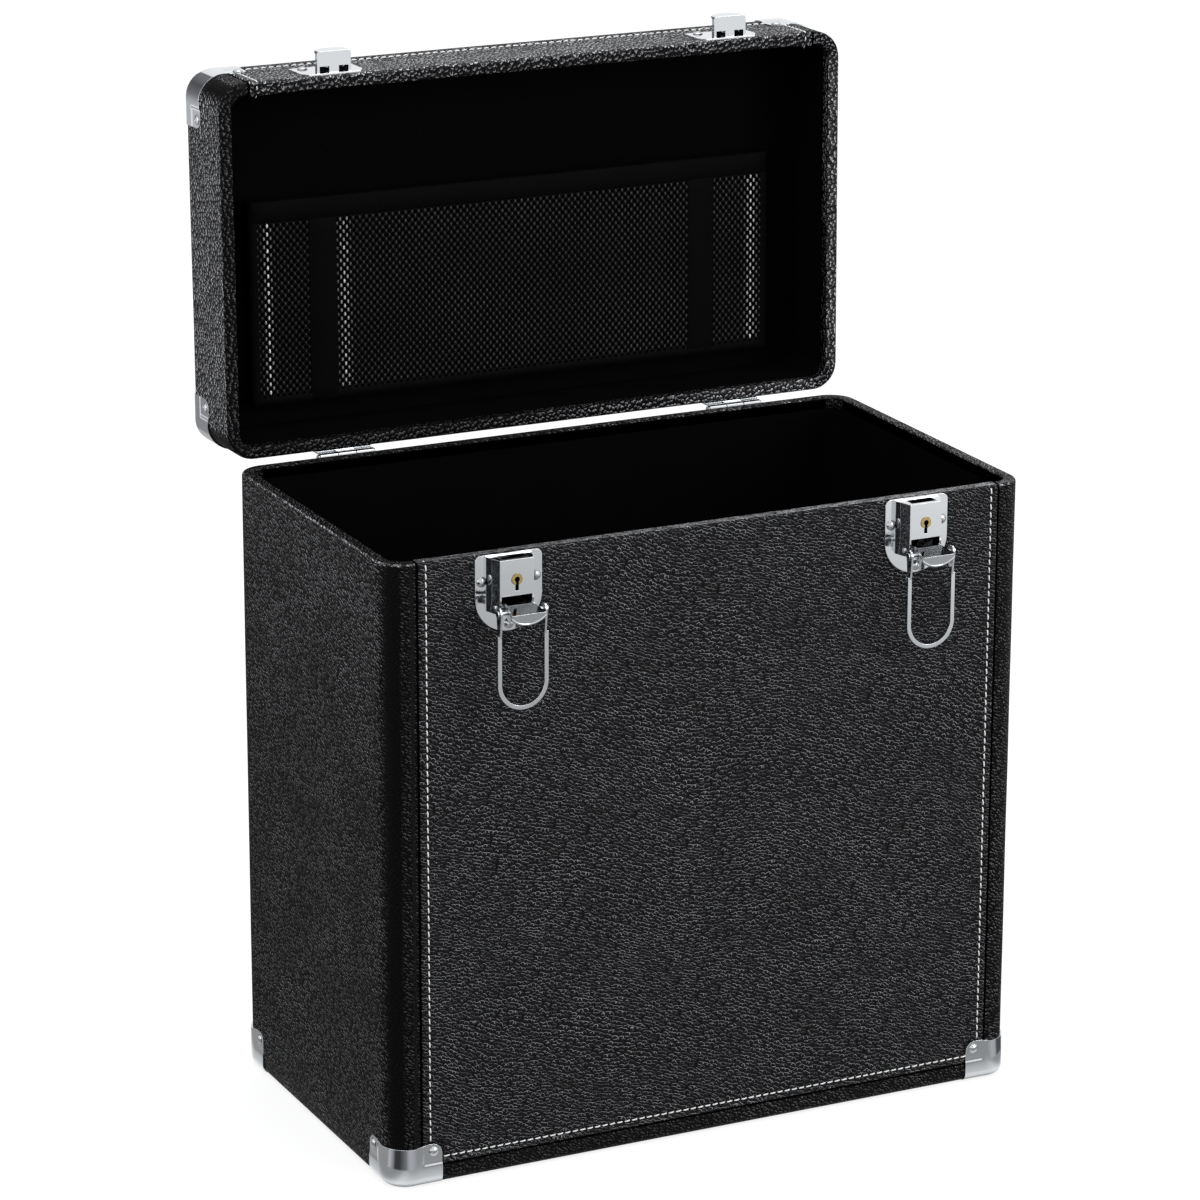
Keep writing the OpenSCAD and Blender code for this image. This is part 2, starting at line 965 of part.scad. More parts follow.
module lid_lining() color([0.05, 0.05, 0.06]) on_lid() as_lid() tray_lining(lid_h);

module lid_corner_rivets()
    color("gainsboro") on_lid() as_lid() corner_rivet_spots() rivet(corner_shank);

// ---- Mesh pocket on the lid's inner face ----

pocket_back = lid_top - wall_t;
pocket_y = front_y + pocket_top;

module at_pocket()
    on_lid()
        translate([0, pocket_y, pocket_back - pocket_depth])
            children();

// Openings of the mesh between two edges, staggered from row to row
module mesh_openings(left, right) {
    low = band_h + mesh_hole_r + 1.5;
    rows = floor((pocket_h - mesh_margin - low) / mesh_row);
    columns = floor((right - left - mesh_pitch) / mesh_pitch);
    spare = (right - left - columns * mesh_pitch) / 2;
    for (row = [0 : rows], column = [0 : columns - row % 2])
        translate([
            left + spare + (column + (row % 2) / 2) * mesh_pitch,
            low + row * mesh_row
        ])
            circle(mesh_hole_r, $fn = 6);
}

module pocket_net() {
    edge = pocket_w / 2 - gusset_t;
    inner = tape_x - tape_w / 2;
    outer = tape_x + tape_w / 2;
    color([0.08, 0.08, 0.09])
        at_pocket()
            linear_extrude(pocket_sheet)
                difference() {
                    translate([-pocket_w / 2, 0])
                        square([pocket_w, pocket_h]);
                    mesh_openings(-edge, -outer);
                    mesh_openings(-inner, inner);
                    mesh_openings(outer, edge);
                }
}

module pocket_band()
    color([0.04, 0.04, 0.05])
        at_pocket()
            translate([-pocket_w / 2, 0, -pocket_tape_t])
                cube([pocket_w, band_h, pocket_tape_t]);

module pocket_tapes()
    color([0.04, 0.04, 0.05])
        at_pocket()
            for (side = [-1, 1])
                translate([side * tape_x - tape_w / 2, band_h, -pocket_tape_t])
                    cube([tape_w, pocket_h - band_h, pocket_tape_t]);

module pocket_gusset()
    color([0.06, 0.06, 0.07])
        at_pocket()
            translate([0, 0, pocket_sheet])
                linear_extrude(pocket_depth - pocket_sheet) {
                    for (side = [-1, 1])
                        translate([side * (pocket_w - gusset_t) / 2 - gusset_t / 2, 0])
                            square([gusset_t, pocket_h]);
                    translate([-pocket_w / 2, pocket_h - gusset_t])
                        square([pocket_w, gusset_t]);
                }

// ---- Handle on the lid's top ----

module handle_bracket(side)
    color("silver")
        on_lid()
            difference() {
                at_bracket(side) {
                    translate([0, 0, bracket_t / 2])
                        cube([bracket_w, bracket_d, bracket_t], center = true);
                    translate([0, 0, pivot_rise])
                        rotate([0, 90, 0])
                            cylinder(r = tube_r, h = tube_len, center = true);
                    translate([-tube_len / 2, -tube_r, 0])
                        cube([tube_len, 2 * tube_r, pivot_rise]);
                }
                at_bracket(side)
                    translate([0, 0, pivot_rise])
                        rotate([0, 90, 0])
                            cylinder(r = link_r + running, h = 2 * tube_len, center = true);
                handle_rivet_spots() rivet_hole(fitting_shank);
            }

module handle_rivet_spots()
    for (side = [-1, 1], p = bracket_rivets)
        at_bracket(side)
            translate([p[0], p[1], bracket_t])
                children();

module handle_rivets()
    color("gainsboro") on_lid() handle_rivet_spots() rivet(fitting_shank);

// A square wire link: its lower bar turns in the bracket, its upper holds the grip
module link_wire(side)
    translate([side * handle_span / 2, 0, 0])
        for (z = [0, link_h], x = [-1, 1]) {
            translate([0, 0, z])
                rotate([0, 90, 0])
                    cylinder(r = link_r, h = link_w, center = true);
            translate([x * link_w / 2, 0, 0])
                cylinder(r = link_r, h = link_h);
            translate([x * link_w / 2, 0, z])
                sphere(link_r);
        }

module handle_link(side) color("silver") on_lid() at_handle() link_wire(side);

// The grip is an arch: its two ends turn down and wrap the links
function grip_point(t) =
    let (c = cos(t), s = sin(t))
    [-sign(c) * pow(abs(c), 0.55) * handle_span / 2,
     tab_start + (grip_rise - tab_start) * pow(s, 0.6)];
function grip_heading(t) =
    let (a = grip_point(max(0, t - 1)), b = grip_point(min(180, t + 1)))
    atan2(b[1] - a[1], b[0] - a[0]);
function grip_swell(t) = pow(sin(t), 0.9);
function grip_ring(t) =
    let (p = grip_point(t), h = grip_heading(t), f = grip_swell(t))
    let (a = 4.4 + (grip_thick / 2 - 4.4) * f, b = 4 + (grip_w / 2 - 4) * f)
    [for (i = [0 : grip_sides - 1])
        let (q = 360 * i / grip_sides, n = a * cos(q))
        [p[0] - n * sin(h), b * sin(q), p[1] + n * cos(h)]];

module handle_grip() {
    points = [for (k = [0 : grip_rings - 1]) each grip_ring(180 * k / (grip_rings - 1))];
    last = (grip_rings - 1) * grip_sides;
    sides = [for (k = [0 : grip_rings - 2], i = [0 : grip_sides - 1])
        let (a = k * grip_sides + i, b = k * grip_sides + (i + 1) % grip_sides)
        each [[a, a + grip_sides, b], [b, a + grip_sides, b + grip_sides]]];
    start = [for (i = [1 : grip_sides - 2]) [0, i, i + 1]];
    end = [for (i = [1 : grip_sides - 2]) [last, last + i + 1, last + i]];
    color([0.07, 0.07, 0.08])
        on_lid()
            at_handle()
                difference() {
                    polyhedron(points, concat(sides, start, end));
                    for (side = [-1, 1]) link_wire(side);
                }
}

// ---- Nodes ----

base_walls();
base_floor();
base_covering();
base_front_panel();
base_lining();
protector(-1, -1);  // base_corner_front_left
protector(1, -1);  // base_corner_front_right
protector(-1, 1);  // base_corner_rear_left
protector(1, 1);  // base_corner_rear_right
base_corner_rivets();
latch_plate(-1);  // latch_plate_left
latch_plate(1);  // latch_plate_right
latch_rivets();
lock_housing(-1);  // lock_housing_left
lock_housing(1);  // lock_housing_right
lock_cylinder(-1);  // lock_cylinder_left
lock_cylinder(1);  // lock_cylinder_right
lock_cam(-1);  // lock_cam_left
lock_cam(1);  // lock_cam_right
lever_pin(-1);  // lever_pin_left
lever_pin(1);  // lever_pin_right
lever(-1);  // lever_left
lever(1);  // lever_right
bail_pin(-1);  // bail_pin_left
bail_pin(1);  // bail_pin_right
bail(-1);  // bail_left
bail(1);  // bail_right
hinge_base_leaf(-1);  // hinge_base_leaf_left
hinge_base_leaf(1);  // hinge_base_leaf_right
hinge_lid_leaf(-1);  // hinge_lid_leaf_left
hinge_lid_leaf(1);  // hinge_lid_leaf_right
hinge_pin(-1);  // hinge_pin_left
hinge_pin(1);  // hinge_pin_right
hinge_base_rivets();
hinge_lid_rivets();
lid_walls();
lid_top_board();
lid_covering();
lid_front_panel();
lid_lining();
on_lid() as_lid() protector(-1, -1);  // lid_corner_front_left
on_lid() as_lid() protector(1, -1);  // lid_corner_front_right
on_lid() as_lid() protector(-1, 1);  // lid_corner_rear_left
on_lid() as_lid() protector(1, 1);  // lid_corner_rear_right
lid_corner_rivets();
catch(-1);  // catch_left
catch(1);  // catch_right
catch_rivets();
pocket_net();
pocket_band();
pocket_tapes();
pocket_gusset();
handle_bracket(-1);  // handle_bracket_left
handle_bracket(1);  // handle_bracket_right
handle_rivets();
handle_link(-1);  // handle_link_left
handle_link(1);  // handle_link_right
handle_grip();
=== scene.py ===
"""Record carrying case, open, in a white studio.

The case's lengths are millimetres until a mesh is made. The camera, lamps and cards are in metres.
"""
import json
from collections import namedtuple
from math import acos, asin, atan2, copysign, cos, dist, exp, pi, radians, sin, sqrt, tau

import bpy
from mathutils import Matrix, Vector, noise


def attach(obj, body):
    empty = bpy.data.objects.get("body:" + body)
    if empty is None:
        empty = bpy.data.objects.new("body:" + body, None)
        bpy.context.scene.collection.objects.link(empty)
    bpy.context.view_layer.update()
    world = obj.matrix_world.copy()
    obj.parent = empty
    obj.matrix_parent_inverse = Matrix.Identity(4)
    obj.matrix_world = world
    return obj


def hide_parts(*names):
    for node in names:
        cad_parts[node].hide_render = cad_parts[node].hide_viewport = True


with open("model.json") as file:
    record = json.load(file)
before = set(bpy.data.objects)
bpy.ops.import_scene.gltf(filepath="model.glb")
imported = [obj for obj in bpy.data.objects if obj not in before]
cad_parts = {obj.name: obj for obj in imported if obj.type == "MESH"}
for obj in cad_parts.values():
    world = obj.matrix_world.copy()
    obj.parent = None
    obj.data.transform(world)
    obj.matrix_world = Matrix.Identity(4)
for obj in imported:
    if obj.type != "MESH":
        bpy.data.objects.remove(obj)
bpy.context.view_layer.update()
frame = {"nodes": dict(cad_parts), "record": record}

SCENE = bpy.context.scene
MM = 0.001

# ---- Sizes, as in part.scad ----

W, D, H = 348.0, 192.0, 319.0
LID_H = 47.6
CORNER_R = 14.0
EDGE_R = 4.0
WALL = 6.5
LID_MOUTH = H + 0.4
LID_TOP = LID_MOUTH + LID_H
HINGE_Y = D / 2 + 3.2
HINGE_Z = LID_MOUTH - 2.4
LID_OPEN = radians(91.0)
LATCH_X = 111.0

# Front panel: its edge's distance from the case's sides and foot, and its stitches' from that edge
SEAM_INSET = 16.3
SEAM_HEIGHT = 10.6
STITCH_IN = 3.9

# Corner protectors: reach along a wall, height, rounding of their ends, thickness of the sheet
REACH = 26.5
PROTECTOR_H = 22.0
EAR = 5.5
SHEET = 0.9

# ---- Sizes of the looks ----

# Covering: height of its flat end, and the rounding of the rim's outer and inner edges
FLAT_END = 0.25
RIM_OUT_R = 1.7
RIM_IN_R = 1.3
CORNER_STEPS = 12

# How strongly the grain and its painted glints stand out on the walls that the photograph doesn't
# show, and the painted highlight along the outer edge of the tray's rim
HIDDEN_GRAIN_AND_GLINT = 0.46
PAINTED_RIM_HIGHLIGHT = 2.2

# Places in the grain for the front panel and the flat ends, so that none repeats another's cells
PANEL_SKIN = 1000.0
END_SKIN = 3000.0

# Distances from the panel's edge that its mesh needs, and its height there over the covering
NEAR_EDGE = [0, 0.15, 0.4, 0.8, 1.4, 2.2, 3.1, STITCH_IN, 4.8, 6, 8]
EDGE_ROLL = [(0.0, -0.5), (0.15, 0.1), (0.4, 0.5), (0.8, 0.8), (1.4, 0.92), (2.2, 0.88), (3.1, 0.62),
             (STITCH_IN, 0.32), (4.8, 0.5), (6.0, 0.55), (9.0, 0.35), (14.0, 0.12)]
PANEL_COLUMNS = 34

STITCH_LENGTH = 3.25
STITCH_R = 0.37
STITCH_SIDES = 7

RIVET_R = 2.6
RIVET_RISE = 1.35
RIVET_FOOT = 0.25
RIVET_SIDES = 28


# ---- Placing ----

def as_is(x, y, z):
    return (x, y, z)


def on_lid(x, y, z):
    """From the closed lid's place to the open lid's."""
    c, s = cos(LID_OPEN), sin(LID_OPEN)
    dy, dz = y - HINGE_Y, z - HINGE_Z
    return (x, HINGE_Y + dy * c + dz * s, HINGE_Z - dy * s + dz * c)


def as_lid(x, y, z):
    """A tray's point, turned upside down to sit as the lid."""
    return on_lid(x, y, LID_TOP - z)


def placed(place, at, out):
    """A point and a direction, both taken to where the part stands."""
    start = Vector(place(*at))
    return start, Vector(place(*(a + b for a, b in zip(at, out)))) - start


def smoothstep(a, b, t):
    t = max(0.0, min(1.0, (t - a) / (b - a)))
    return t * t * (3 - 2 * t)


def hump(t, width):
    return exp(-(t / width) ** 2)


# The tray and the lid are made alike; the lid's faces are flipped, as its place turns them inside out
Part = namedtuple("Part", "name height place flip")
BASE = Part("base", H, as_is, False)
LID = Part("lid", LID_H, as_lid, True)


# ---- Meshes ----

class Shape:
    """Gathers several forms into one mesh."""

    def __init__(self):
        self.points, self.faces = [], []

    def grid(self, rows, closed_u=False, closed_v=False):
        base = len(self.points)
        nu, nv = len(rows), len(rows[0])
        for row in rows:
            self.points.extend(row)
        for i in range(nu if closed_u else nu - 1):
            here, there = base + i * nv, base + (i + 1) % nu * nv
            for j in range(nv if closed_v else nv - 1):
                j2 = (j + 1) % nv
                self.faces.append((here + j, there + j, there + j2, here + j2))
        return base

    def fan(self, ring, reverse=False):
        self.faces.append(tuple(reversed(ring)) if reverse else tuple(ring))


def make(name, shape, material, body, replaces=(), flip=False, sharp=None, layers=None):
    """A piece that rides on a body. Layers are values for each point, which its material reads."""
    mesh = bpy.data.meshes.new(name)
    faces = [tuple(reversed(f)) for f in shape.faces] if flip else shape.faces
    mesh.from_pydata([[c * MM for c in p] for p in shape.points], [], faces)
    mesh.update()
    mesh.polygons.foreach_set("use_smooth", [True] * len(mesh.polygons))
    if sharp is not None:
        mesh.set_sharp_from_angle(angle=radians(sharp))
    for key, values in (layers or {}).items():
        if key == "skin":
            flat = [c * MM for u, v in values for c in (u, v, 0.0)]
            mesh.attributes.new(key, "FLOAT_VECTOR", "POINT").data.foreach_set("vector", flat)
        else:
            mesh.attributes.new(key, "FLOAT", "POINT").data.foreach_set("value", values)
    mesh.materials.append(material)
    obj = bpy.data.objects.new(name, mesh)
    SCENE.collection.objects.link(obj)
    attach(obj, body)
    if replaces:
        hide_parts(*replaces)
    return obj


def thicken(obj, thickness):
    solid = obj.modifiers.new("thickness", "SOLIDIFY")
    solid.thickness = thickness * MM
    solid.offset = 0.0
    solid.use_rim = True


# ---- Materials ----

class Nodes:
    """The nodes of a new material, or of the world."""

    def __init__(self, name, world=None):
        self.owner = world or bpy.data.materials.new(name)
        self.owner.use_nodes = True
        self.tree = self.owner.node_tree
        self.tree.nodes.clear()
        self.out = self.add("OutputWorld" if world else "OutputMaterial")

    def add(self, kind, **values):
        """A new shader node, with its settings by their own names and its inputs as Input_Name."""
        node = self.tree.nodes.new("ShaderNode" + kind)
        for key, value in values.items():
            if hasattr(node, key):
                setattr(node, key, value)
            else:
                self.fill([node.inputs[key.replace("_", " ")]], [value])
        return node

    def get(self, kind, output=0, **values):
        return self.add(kind, **values).outputs[output]

    def fill(self, inputs, values):
        """Links or sets inputs in order. A colour of three numbers gets its alpha."""
        for socket, value in zip(inputs, values):
            if isinstance(value, bpy.types.NodeSocket):
                self.tree.links.new(value, socket)
            elif isinstance(value, tuple) and len(value) < len(socket.default_value):
                socket.default_value = (*value, 1.0)
            else:
                socket.default_value = value

    def math(self, operation, *values, clamp=False):
        node = self.add("Math", operation=operation, use_clamp=clamp)
        self.fill(node.inputs, values)
        return node.outputs[0]

    def times(self, product, *factors, clamp=False):
        for factor in factors:
            product = self.math("MULTIPLY", product, factor, clamp=clamp)
        return product

    def vector(self, operation, *values):
        node = self.add("VectorMath", operation=operation)
        self.fill(node.inputs, values)
        return node.outputs[0]

    def mix(self, factor, a, b, kind="MIX"):
        node = self.add("Mix", data_type="RGBA", blend_type=kind)
        self.fill((node.inputs[0], node.inputs[6], node.inputs[7]), (factor, a, b))
        return node.outputs[2]

    def mapped(self, *scale):
        """The object's own coordinates, in metres or scaled."""
        return self.get("Mapping", Vector=self.get("TexCoord", "Object"), Scale=scale or (1, 1, 1))

    def noise(self, scale, detail, vector=None):
        return self.get("TexNoise", Scale=scale, Detail=detail, Vector=vector or self.mapped())

    def ramp(self, factor, stops, blue=1.0):
        """Shades of grey at places from 0 to 1; blue tints them."""
        node = self.add("ValToRGB")
        elements = node.color_ramp.elements
        while len(elements) < len(stops):
            elements.new(0.5)
        for element, (place, shade) in zip(elements, stops):
            element.position = place
            element.color = (shade, shade, shade * blue, 1.0)
        self.fill(node.inputs, [factor])
        return node.outputs["Color"]

    def seen_by(self, *kinds):
        """1 for rays of these kinds, else 0."""
        path = self.add("LightPath").outputs
        total = path[kinds[0]]
        for kind in kinds[1:]:
            total = self.math("ADD", total, path[kind], clamp=True)
        return total

    def either(self, factor, first, second):
        node = self.add("MixShader")
        self.fill(node.inputs, (factor, first.outputs[0], second.outputs[0]))
        return node

    def done(self, shader):
        self.fill(self.out.inputs, [shader.outputs[0]])
        return self.owner

    def surface(self, **values):
        return self.done(self.add("BsdfPrincipled", **values))


def leather(name, wide, high, body=0.0045, tip=0.8, slant=28.0, line=1.0, relief=0.7, even=0.0, long=0.0,
            wander=0.03):
    """Pebbled leatherette on the skin's own coordinates: cells of a size in mm with a glinting upper edge.

    body and tip are a pebble's and a glint's brightness; the glint is a painted highlight in the colour.
    slant is the grain's tilt in degrees. line and long thicken and lengthen the painted glints, even makes
    them more alike, relief is the bump's strength, and wander is how far the grain drifts. The
    crest attribute sets how far the grain's bump, its painted glints and its painted pale pebbles
    stand out, which paints in how light falls on each place: 0 where the skin is stretched smooth.
    """
    m = Nodes(name)
    crest = m.get("Attribute", "Fac", attribute_name="crest")
    skin = m.get("Attribute", "Vector", attribute_name="skin")
    moved = skin
    # A slow drift turns the grain's direction, a quick one roughens each cell
    for scale, amount in ((9.0, wander), (330.0, 0.0011)):
        drift = m.get("TexNoise", "Color", Scale=scale, Detail=1.0, Vector=skin)
        moved = m.vector("MULTIPLY_ADD", drift, (amount, amount, 0.0), moved)
    turned = m.get("Mapping", vector_type="TEXTURE", Vector=moved, Rotation=(0.0, 0.0, radians(-slant)),
                   Scale=(wide * MM, high * MM, 1.0))
    cells, creases = (m.add("TexVoronoi", voronoi_dimensions="2D", feature=feature, Scale=1.0, Randomness=0.9,
                            Vector=turned).outputs for feature in ("F1", "DISTANCE_TO_EDGE"))
    edge = creases["Distance"]
    pebble = m.ramp(edge, [(0.03, 0), (0.16, 0.6), (0.34, 1)])
    # Painted highlight: the glint is a short crescent along each cell's upper edge, painted into the colour
    band = m.ramp(edge, [(0.02 * line, 0), (0.07 * line, 1), (0.12 * line, 0.8), (0.21 * line, 0)])
    offset = m.add("SeparateXYZ", Vector=m.vector("SUBTRACT", turned, cells["Position"])).outputs
    upper = m.ramp(offset["Y"], [(0.03, 0), (0.22, 1)])
    ends = m.ramp(m.math("ABSOLUTE", offset["X"]), [(0.22 + long, 1), (0.52 + long, 0)])
    lucky = m.ramp(m.get("SeparateColor", Color=cells["Color"]), [(0.1, 0.15 + even), (0.85, 1)])
    patchy = m.ramp(m.noise(26.0, 3.0, skin), [(0.34, 0.55 + even), (0.66, 1)])
    glint = m.times(band, upper, ends, lucky, patchy, crest, clamp=True)
    # Painted light: where crest is highest the whole pebble is painted pale, and the creases
    # are painted darker everywhere, as painted shade
    painted_pebble_light = m.times(m.math("SUBTRACT", crest, 0.65, clamp=True), lucky, 0.55)
    light = m.mix(painted_pebble_light, (body * 1.15, body * 1.15, body * 1.25), (0.34, 0.34, 0.345))
    dark = m.mix(pebble, (body * 0.4,) * 3, light)
    rough, shine = (m.get("MapRange", Value=glint, To_Min=dull, To_Max=bright)
                    for dull, bright in ((0.55, 0.36), (0.04, 0.4)))
    depth = m.times(pebble, m.times(crest, 3.0, clamp=True))
    dent = m.get("Bump", Strength=relief, Distance=0.00035, Height=depth)
    return m.surface(Base_Color=m.mix(glint, dark, (tip, tip, tip * 1.04)), Roughness=rough,
                     Specular_IOR_Level=shine, Normal=dent)


def metal(name, colour, roughness=0.06, radius=0.00025, nooks=(0.16, 0.52), upper=1.0):
    """Polished plate: softened edges, faint streaks and slight waviness.

    nooks are the shares of open air between which it goes from dark to its colour, as painted shade in
    crevices and recesses, and upper is painted shade that darkens the faces that look up.
    """
    m = Nodes(name)
    streak = m.noise(1.0, 3.0, m.mapped(220, 220, 900))
    # Painted shade: the colour darkens where little open air reaches
    shade = m.ramp(m.get("AmbientOcclusion", "AO", samples=12, Distance=0.011),
                   [(nooks[0], 0.03), (nooks[1], 1)])
    # Painted shade on the faces that look up
    if upper < 1.0:
        facing = m.get("SeparateXYZ", "Z", Vector=m.get("TexCoord", "Normal"))
        shade = m.mix(1.0, shade, m.ramp(facing, [(0.8, 1), (0.95, upper)]), kind="MULTIPLY")
    dent = m.get("Bump", Strength=0.12, Distance=0.0003, Height=m.noise(90.0, 1.0),
                 Normal=m.get("Bevel", samples=4, Radius=radius))
    return m.surface(Metallic=1.0, Base_Color=m.mix(1.0, colour, shade, kind="MULTIPLY"),
                     Roughness=m.math("MULTIPLY_ADD", streak, 0.04, roughness), Normal=dent)


def cloth(name, colour, scale=1100.0, bump=0.5, roughness=0.85, shine=0.25):
    """Fine woven or knitted fabric."""
    m = Nodes(name)
    threads = m.get("TexVoronoi", "Distance", Scale=1.0, Vector=m.mapped(scale, scale, scale))
    low, high = (tuple(c * share for c in colour) for share in (0.6, 1.4))
    return m.surface(Base_Color=m.mix(m.times(threads, m.noise(30.0, 4.0)), low, high), Roughness=roughness,
                     Specular_IOR_Level=shine,
                     Normal=m.get("Bump", Strength=bump, Distance=0.0002, Height=threads))


def knot_material():
    """Glossy knots of the net: black, with paler ones where they catch the light."""
    m = Nodes("net_knot")
    glint = m.get("Attribute", "Fac", attribute_name="glint")
    # Painted highlight: knots with a higher glint are painted paler
    lit = m.times(m.math("POWER", glint, 1.6), m.math("ADD", m.noise(2600.0, 2.0), 0.4))
    return m.surface(Base_Color=m.mix(lit, (0.006, 0.006, 0.007), (0.95, 0.95, 0.97)), Roughness=0.35,
                     Specular_IOR_Level=0.3)


def thread_material():
    m = Nodes("white_thread")
    twist = m.get("TexWave", "Fac", wave_type="BANDS", bands_direction="DIAGONAL", Scale=1100.0,
                  Distortion=1.0, Vector=m.mapped())
    return m.surface(Base_Color=m.mix(twist, (0.84, 0.84, 0.82), (0.98, 0.98, 0.97)), Roughness=0.6,
                     Normal=m.get("Bump", Strength=0.4, Distance=0.0001, Height=twist))


def wood_material():
    m = Nodes("plywood")
    plies = m.get("TexWave", "Fac", wave_type="BANDS", bands_direction="Z", Scale=90.0, Distortion=6.0,
                  Detail=3.0, Vector=m.mapped(1, 1, 0.15))
    return m.surface(Base_Color=m.mix(plies, (0.42, 0.28, 0.15), (0.66, 0.5, 0.32)), Roughness=0.7)


CHROME_COLOUR = (0.7, 0.725, 0.75)
LEATHER = leather("leatherette", 2.2, 1.6, body=0.0038, tip=0.9, line=1.15, wander=0.02)
# Painted light: the lid's copy has stronger painted glints, for the stronger light on the lid
LID_LEATHER = leather("leatherette_lid", 1.9, 2.5, body=0.003, tip=1.0, slant=10.0, line=1.4, even=0.2,
                      wander=0.006)
PANEL = leather("leatherette_panel", 2.7, 1.7, body=0.0104, tip=1.0, slant=18.0, line=0.6, relief=0.35,
                even=0.15, long=0.15)
GRIP = leather("leatherette_grip", 1.6, 1.1)
CHROME = metal("chrome", CHROME_COLOUR, radius=0.00035)
# Painted shade: the rivets' chrome is darker, and its painted crevice shade reaches further
CHROME_RIVET = metal("chrome_rivet", (0.62, 0.64, 0.66), radius=0.0001, nooks=(0.4, 0.95))
# Painted shade: the levers' chrome is darker on its up-facing faces
LEVER = metal("chrome_lever", CHROME_COLOUR, radius=0.00035, upper=0.3)
STEEL = metal("bright_steel", (0.6, 0.61, 0.63), roughness=0.16)
BRASS = metal("brass", (0.5, 0.38, 0.17), roughness=0.16, radius=0.00015)
PAINTED_GAP_SHADE = cloth("painted_gap_shade", (0.0012, 0.0012, 0.0012), shine=0.0)
LINING = cloth("lining", (0.002, 0.002, 0.0022), bump=0.3, shine=0.02)
NET = cloth("net_thread", (0.007, 0.007, 0.0075), scale=2200.0, shine=0.08)
KNOT = knot_material()
BAND = cloth("binding", (0.0014, 0.0014, 0.0016), scale=900.0, roughness=0.7, shine=0.04)
THREAD = thread_material()
WOOD = wood_material()


# ---- Leatherette over the trays ----

def stations():
    """Places round a tray, anticlockwise from above: centre, outward direction, stretch at the corners."""
    hx, hy = W / 2 - CORNER_R, D / 2 - CORNER_R
    corners = [(-hx, -hy), (hx, -hy), (hx, hy), (-hx, hy)]
    found = []
    for k, (a, b) in enumerate(zip(corners, corners[1:] + corners[:1])):
        angle = -90.0 + 90.0 * k
        n = (cos(radians(angle)), sin(radians(angle)))
        steps = 22 if k % 2 else 40
        for i in range(steps):
            t = i / steps
            found.append(((a[0] + (b[0] - a[0]) * t, a[1] + (b[1] - a[1]) * t), n, 0.0))
        for i in range(CORNER_STEPS):
            t = i / CORNER_STEPS
            q = radians(angle + 90.0 * t)
            stretch = smoothstep(0.08, 0.4, t) * (1 - smoothstep(0.7, 1.35, t))
            found.append((b, (cos(q), sin(q)), stretch * (0.65 if k == 0 else 1.0)))
    return found


def arc(inset, z, radius, start, end, steps):
    """Points of a round edge: (inset, z) about a centre, with angles from the outward direction."""
    angles = [radians(start + (end - start) * i / steps) for i in range(steps + 1)]
    return [(inset - radius * cos(a), z + radius * sin(a)) for a in angles]


def covering_profile(h):
    """From the flat end's edge up the wall, over the rim and down inside, as (inset, height)."""
    foot, eave = EDGE_R + FLAT_END, h - RIM_OUT_R
    count = max(3, int((h - 8) / 8))
    profile = arc(EDGE_R, foot, EDGE_R, -90, 0, 6)
    profile += [(0.0, foot + (eave - foot) * i / count) for i in range(1, count)]
    profile += arc(RIM_OUT_R, eave, RIM_OUT_R, 0, 90, 5)
    profile += arc(WALL - RIM_IN_R, h - RIM_IN_R, RIM_IN_R, 90, 180, 3)
    return profile + [(WALL, h - 6.0)]


def covering_grain_and_glint(part, centre, n, stretch, inset, z, wall, rim, right_rim):
    """How far the grain stands out at a place of the covering.

    wall is its value on the walls that the photograph shows, and rim and right_rim along the rim. The
    value also sets the painted glints, so it is painted light: higher where more light falls, towards the
    right and up the base's left wall, with a painted highlight along the outer edge of the base's rim.
    """
    past_edge = part is BASE and inset > 0.2 and z > part.height / 2
    # Painted highlight: a pale line along the outer edge of the base's rim
    if past_edge and inset < 1.0:
        return PAINTED_RIM_HIGHLIGHT
    if past_edge:
        stretch = 0.0
    elif n[1] < -0.9:
        stretch = 0.6
    # Painted light: the rim's glints grow brighter towards the right
    if z > part.height - 1.6:
        return (rim + (right_rim - rim) * smoothstep(-60, 150, centre[0])) * (1 - 0.5 * stretch)
    crest = wall if n[0] < -0.5 or n[1] < -0.5 else HIDDEN_GRAIN_AND_GLINT
    # Painted light: the base's left wall glints more towards its top, and its front more on the right
    if part is BASE and n[0] < -0.5:
        crest *= 1 + 0.6 * smoothstep(0.55 * H, H, z)
    if part is BASE and centre[0] > 0 and n[1] < -0.3:
        crest *= 1.6
    return crest * (1 - stretch)


def flat_end():
    """Rows of (x, y) over the flat end, on a grid of its own so that its grain runs straight."""
    half_x, half_y, round_r = W / 2 - EDGE_R + 0.1, D / 2 - EDGE_R + 0.1, CORNER_R - EDGE_R
    xs = [half_x - round_r * (1 - cos(radians(q))) for q in (0, 10, 20, 30, 45, 60, 75, 90)]
    xs += [xs[-1] * (1 - i / 20) for i in range(1, 20)]
    xs += [0.0] + [-x for x in reversed(xs)]
    rows = []
    for x in xs:
        past = max(0.0, abs(x) - (half_x - round_r))
        side = half_y - round_r + sqrt(max(0.0, round_r * round_r - past * past))
        rows.append([(x, side * k / 15) for k in range(-15, 16)])
    return rows


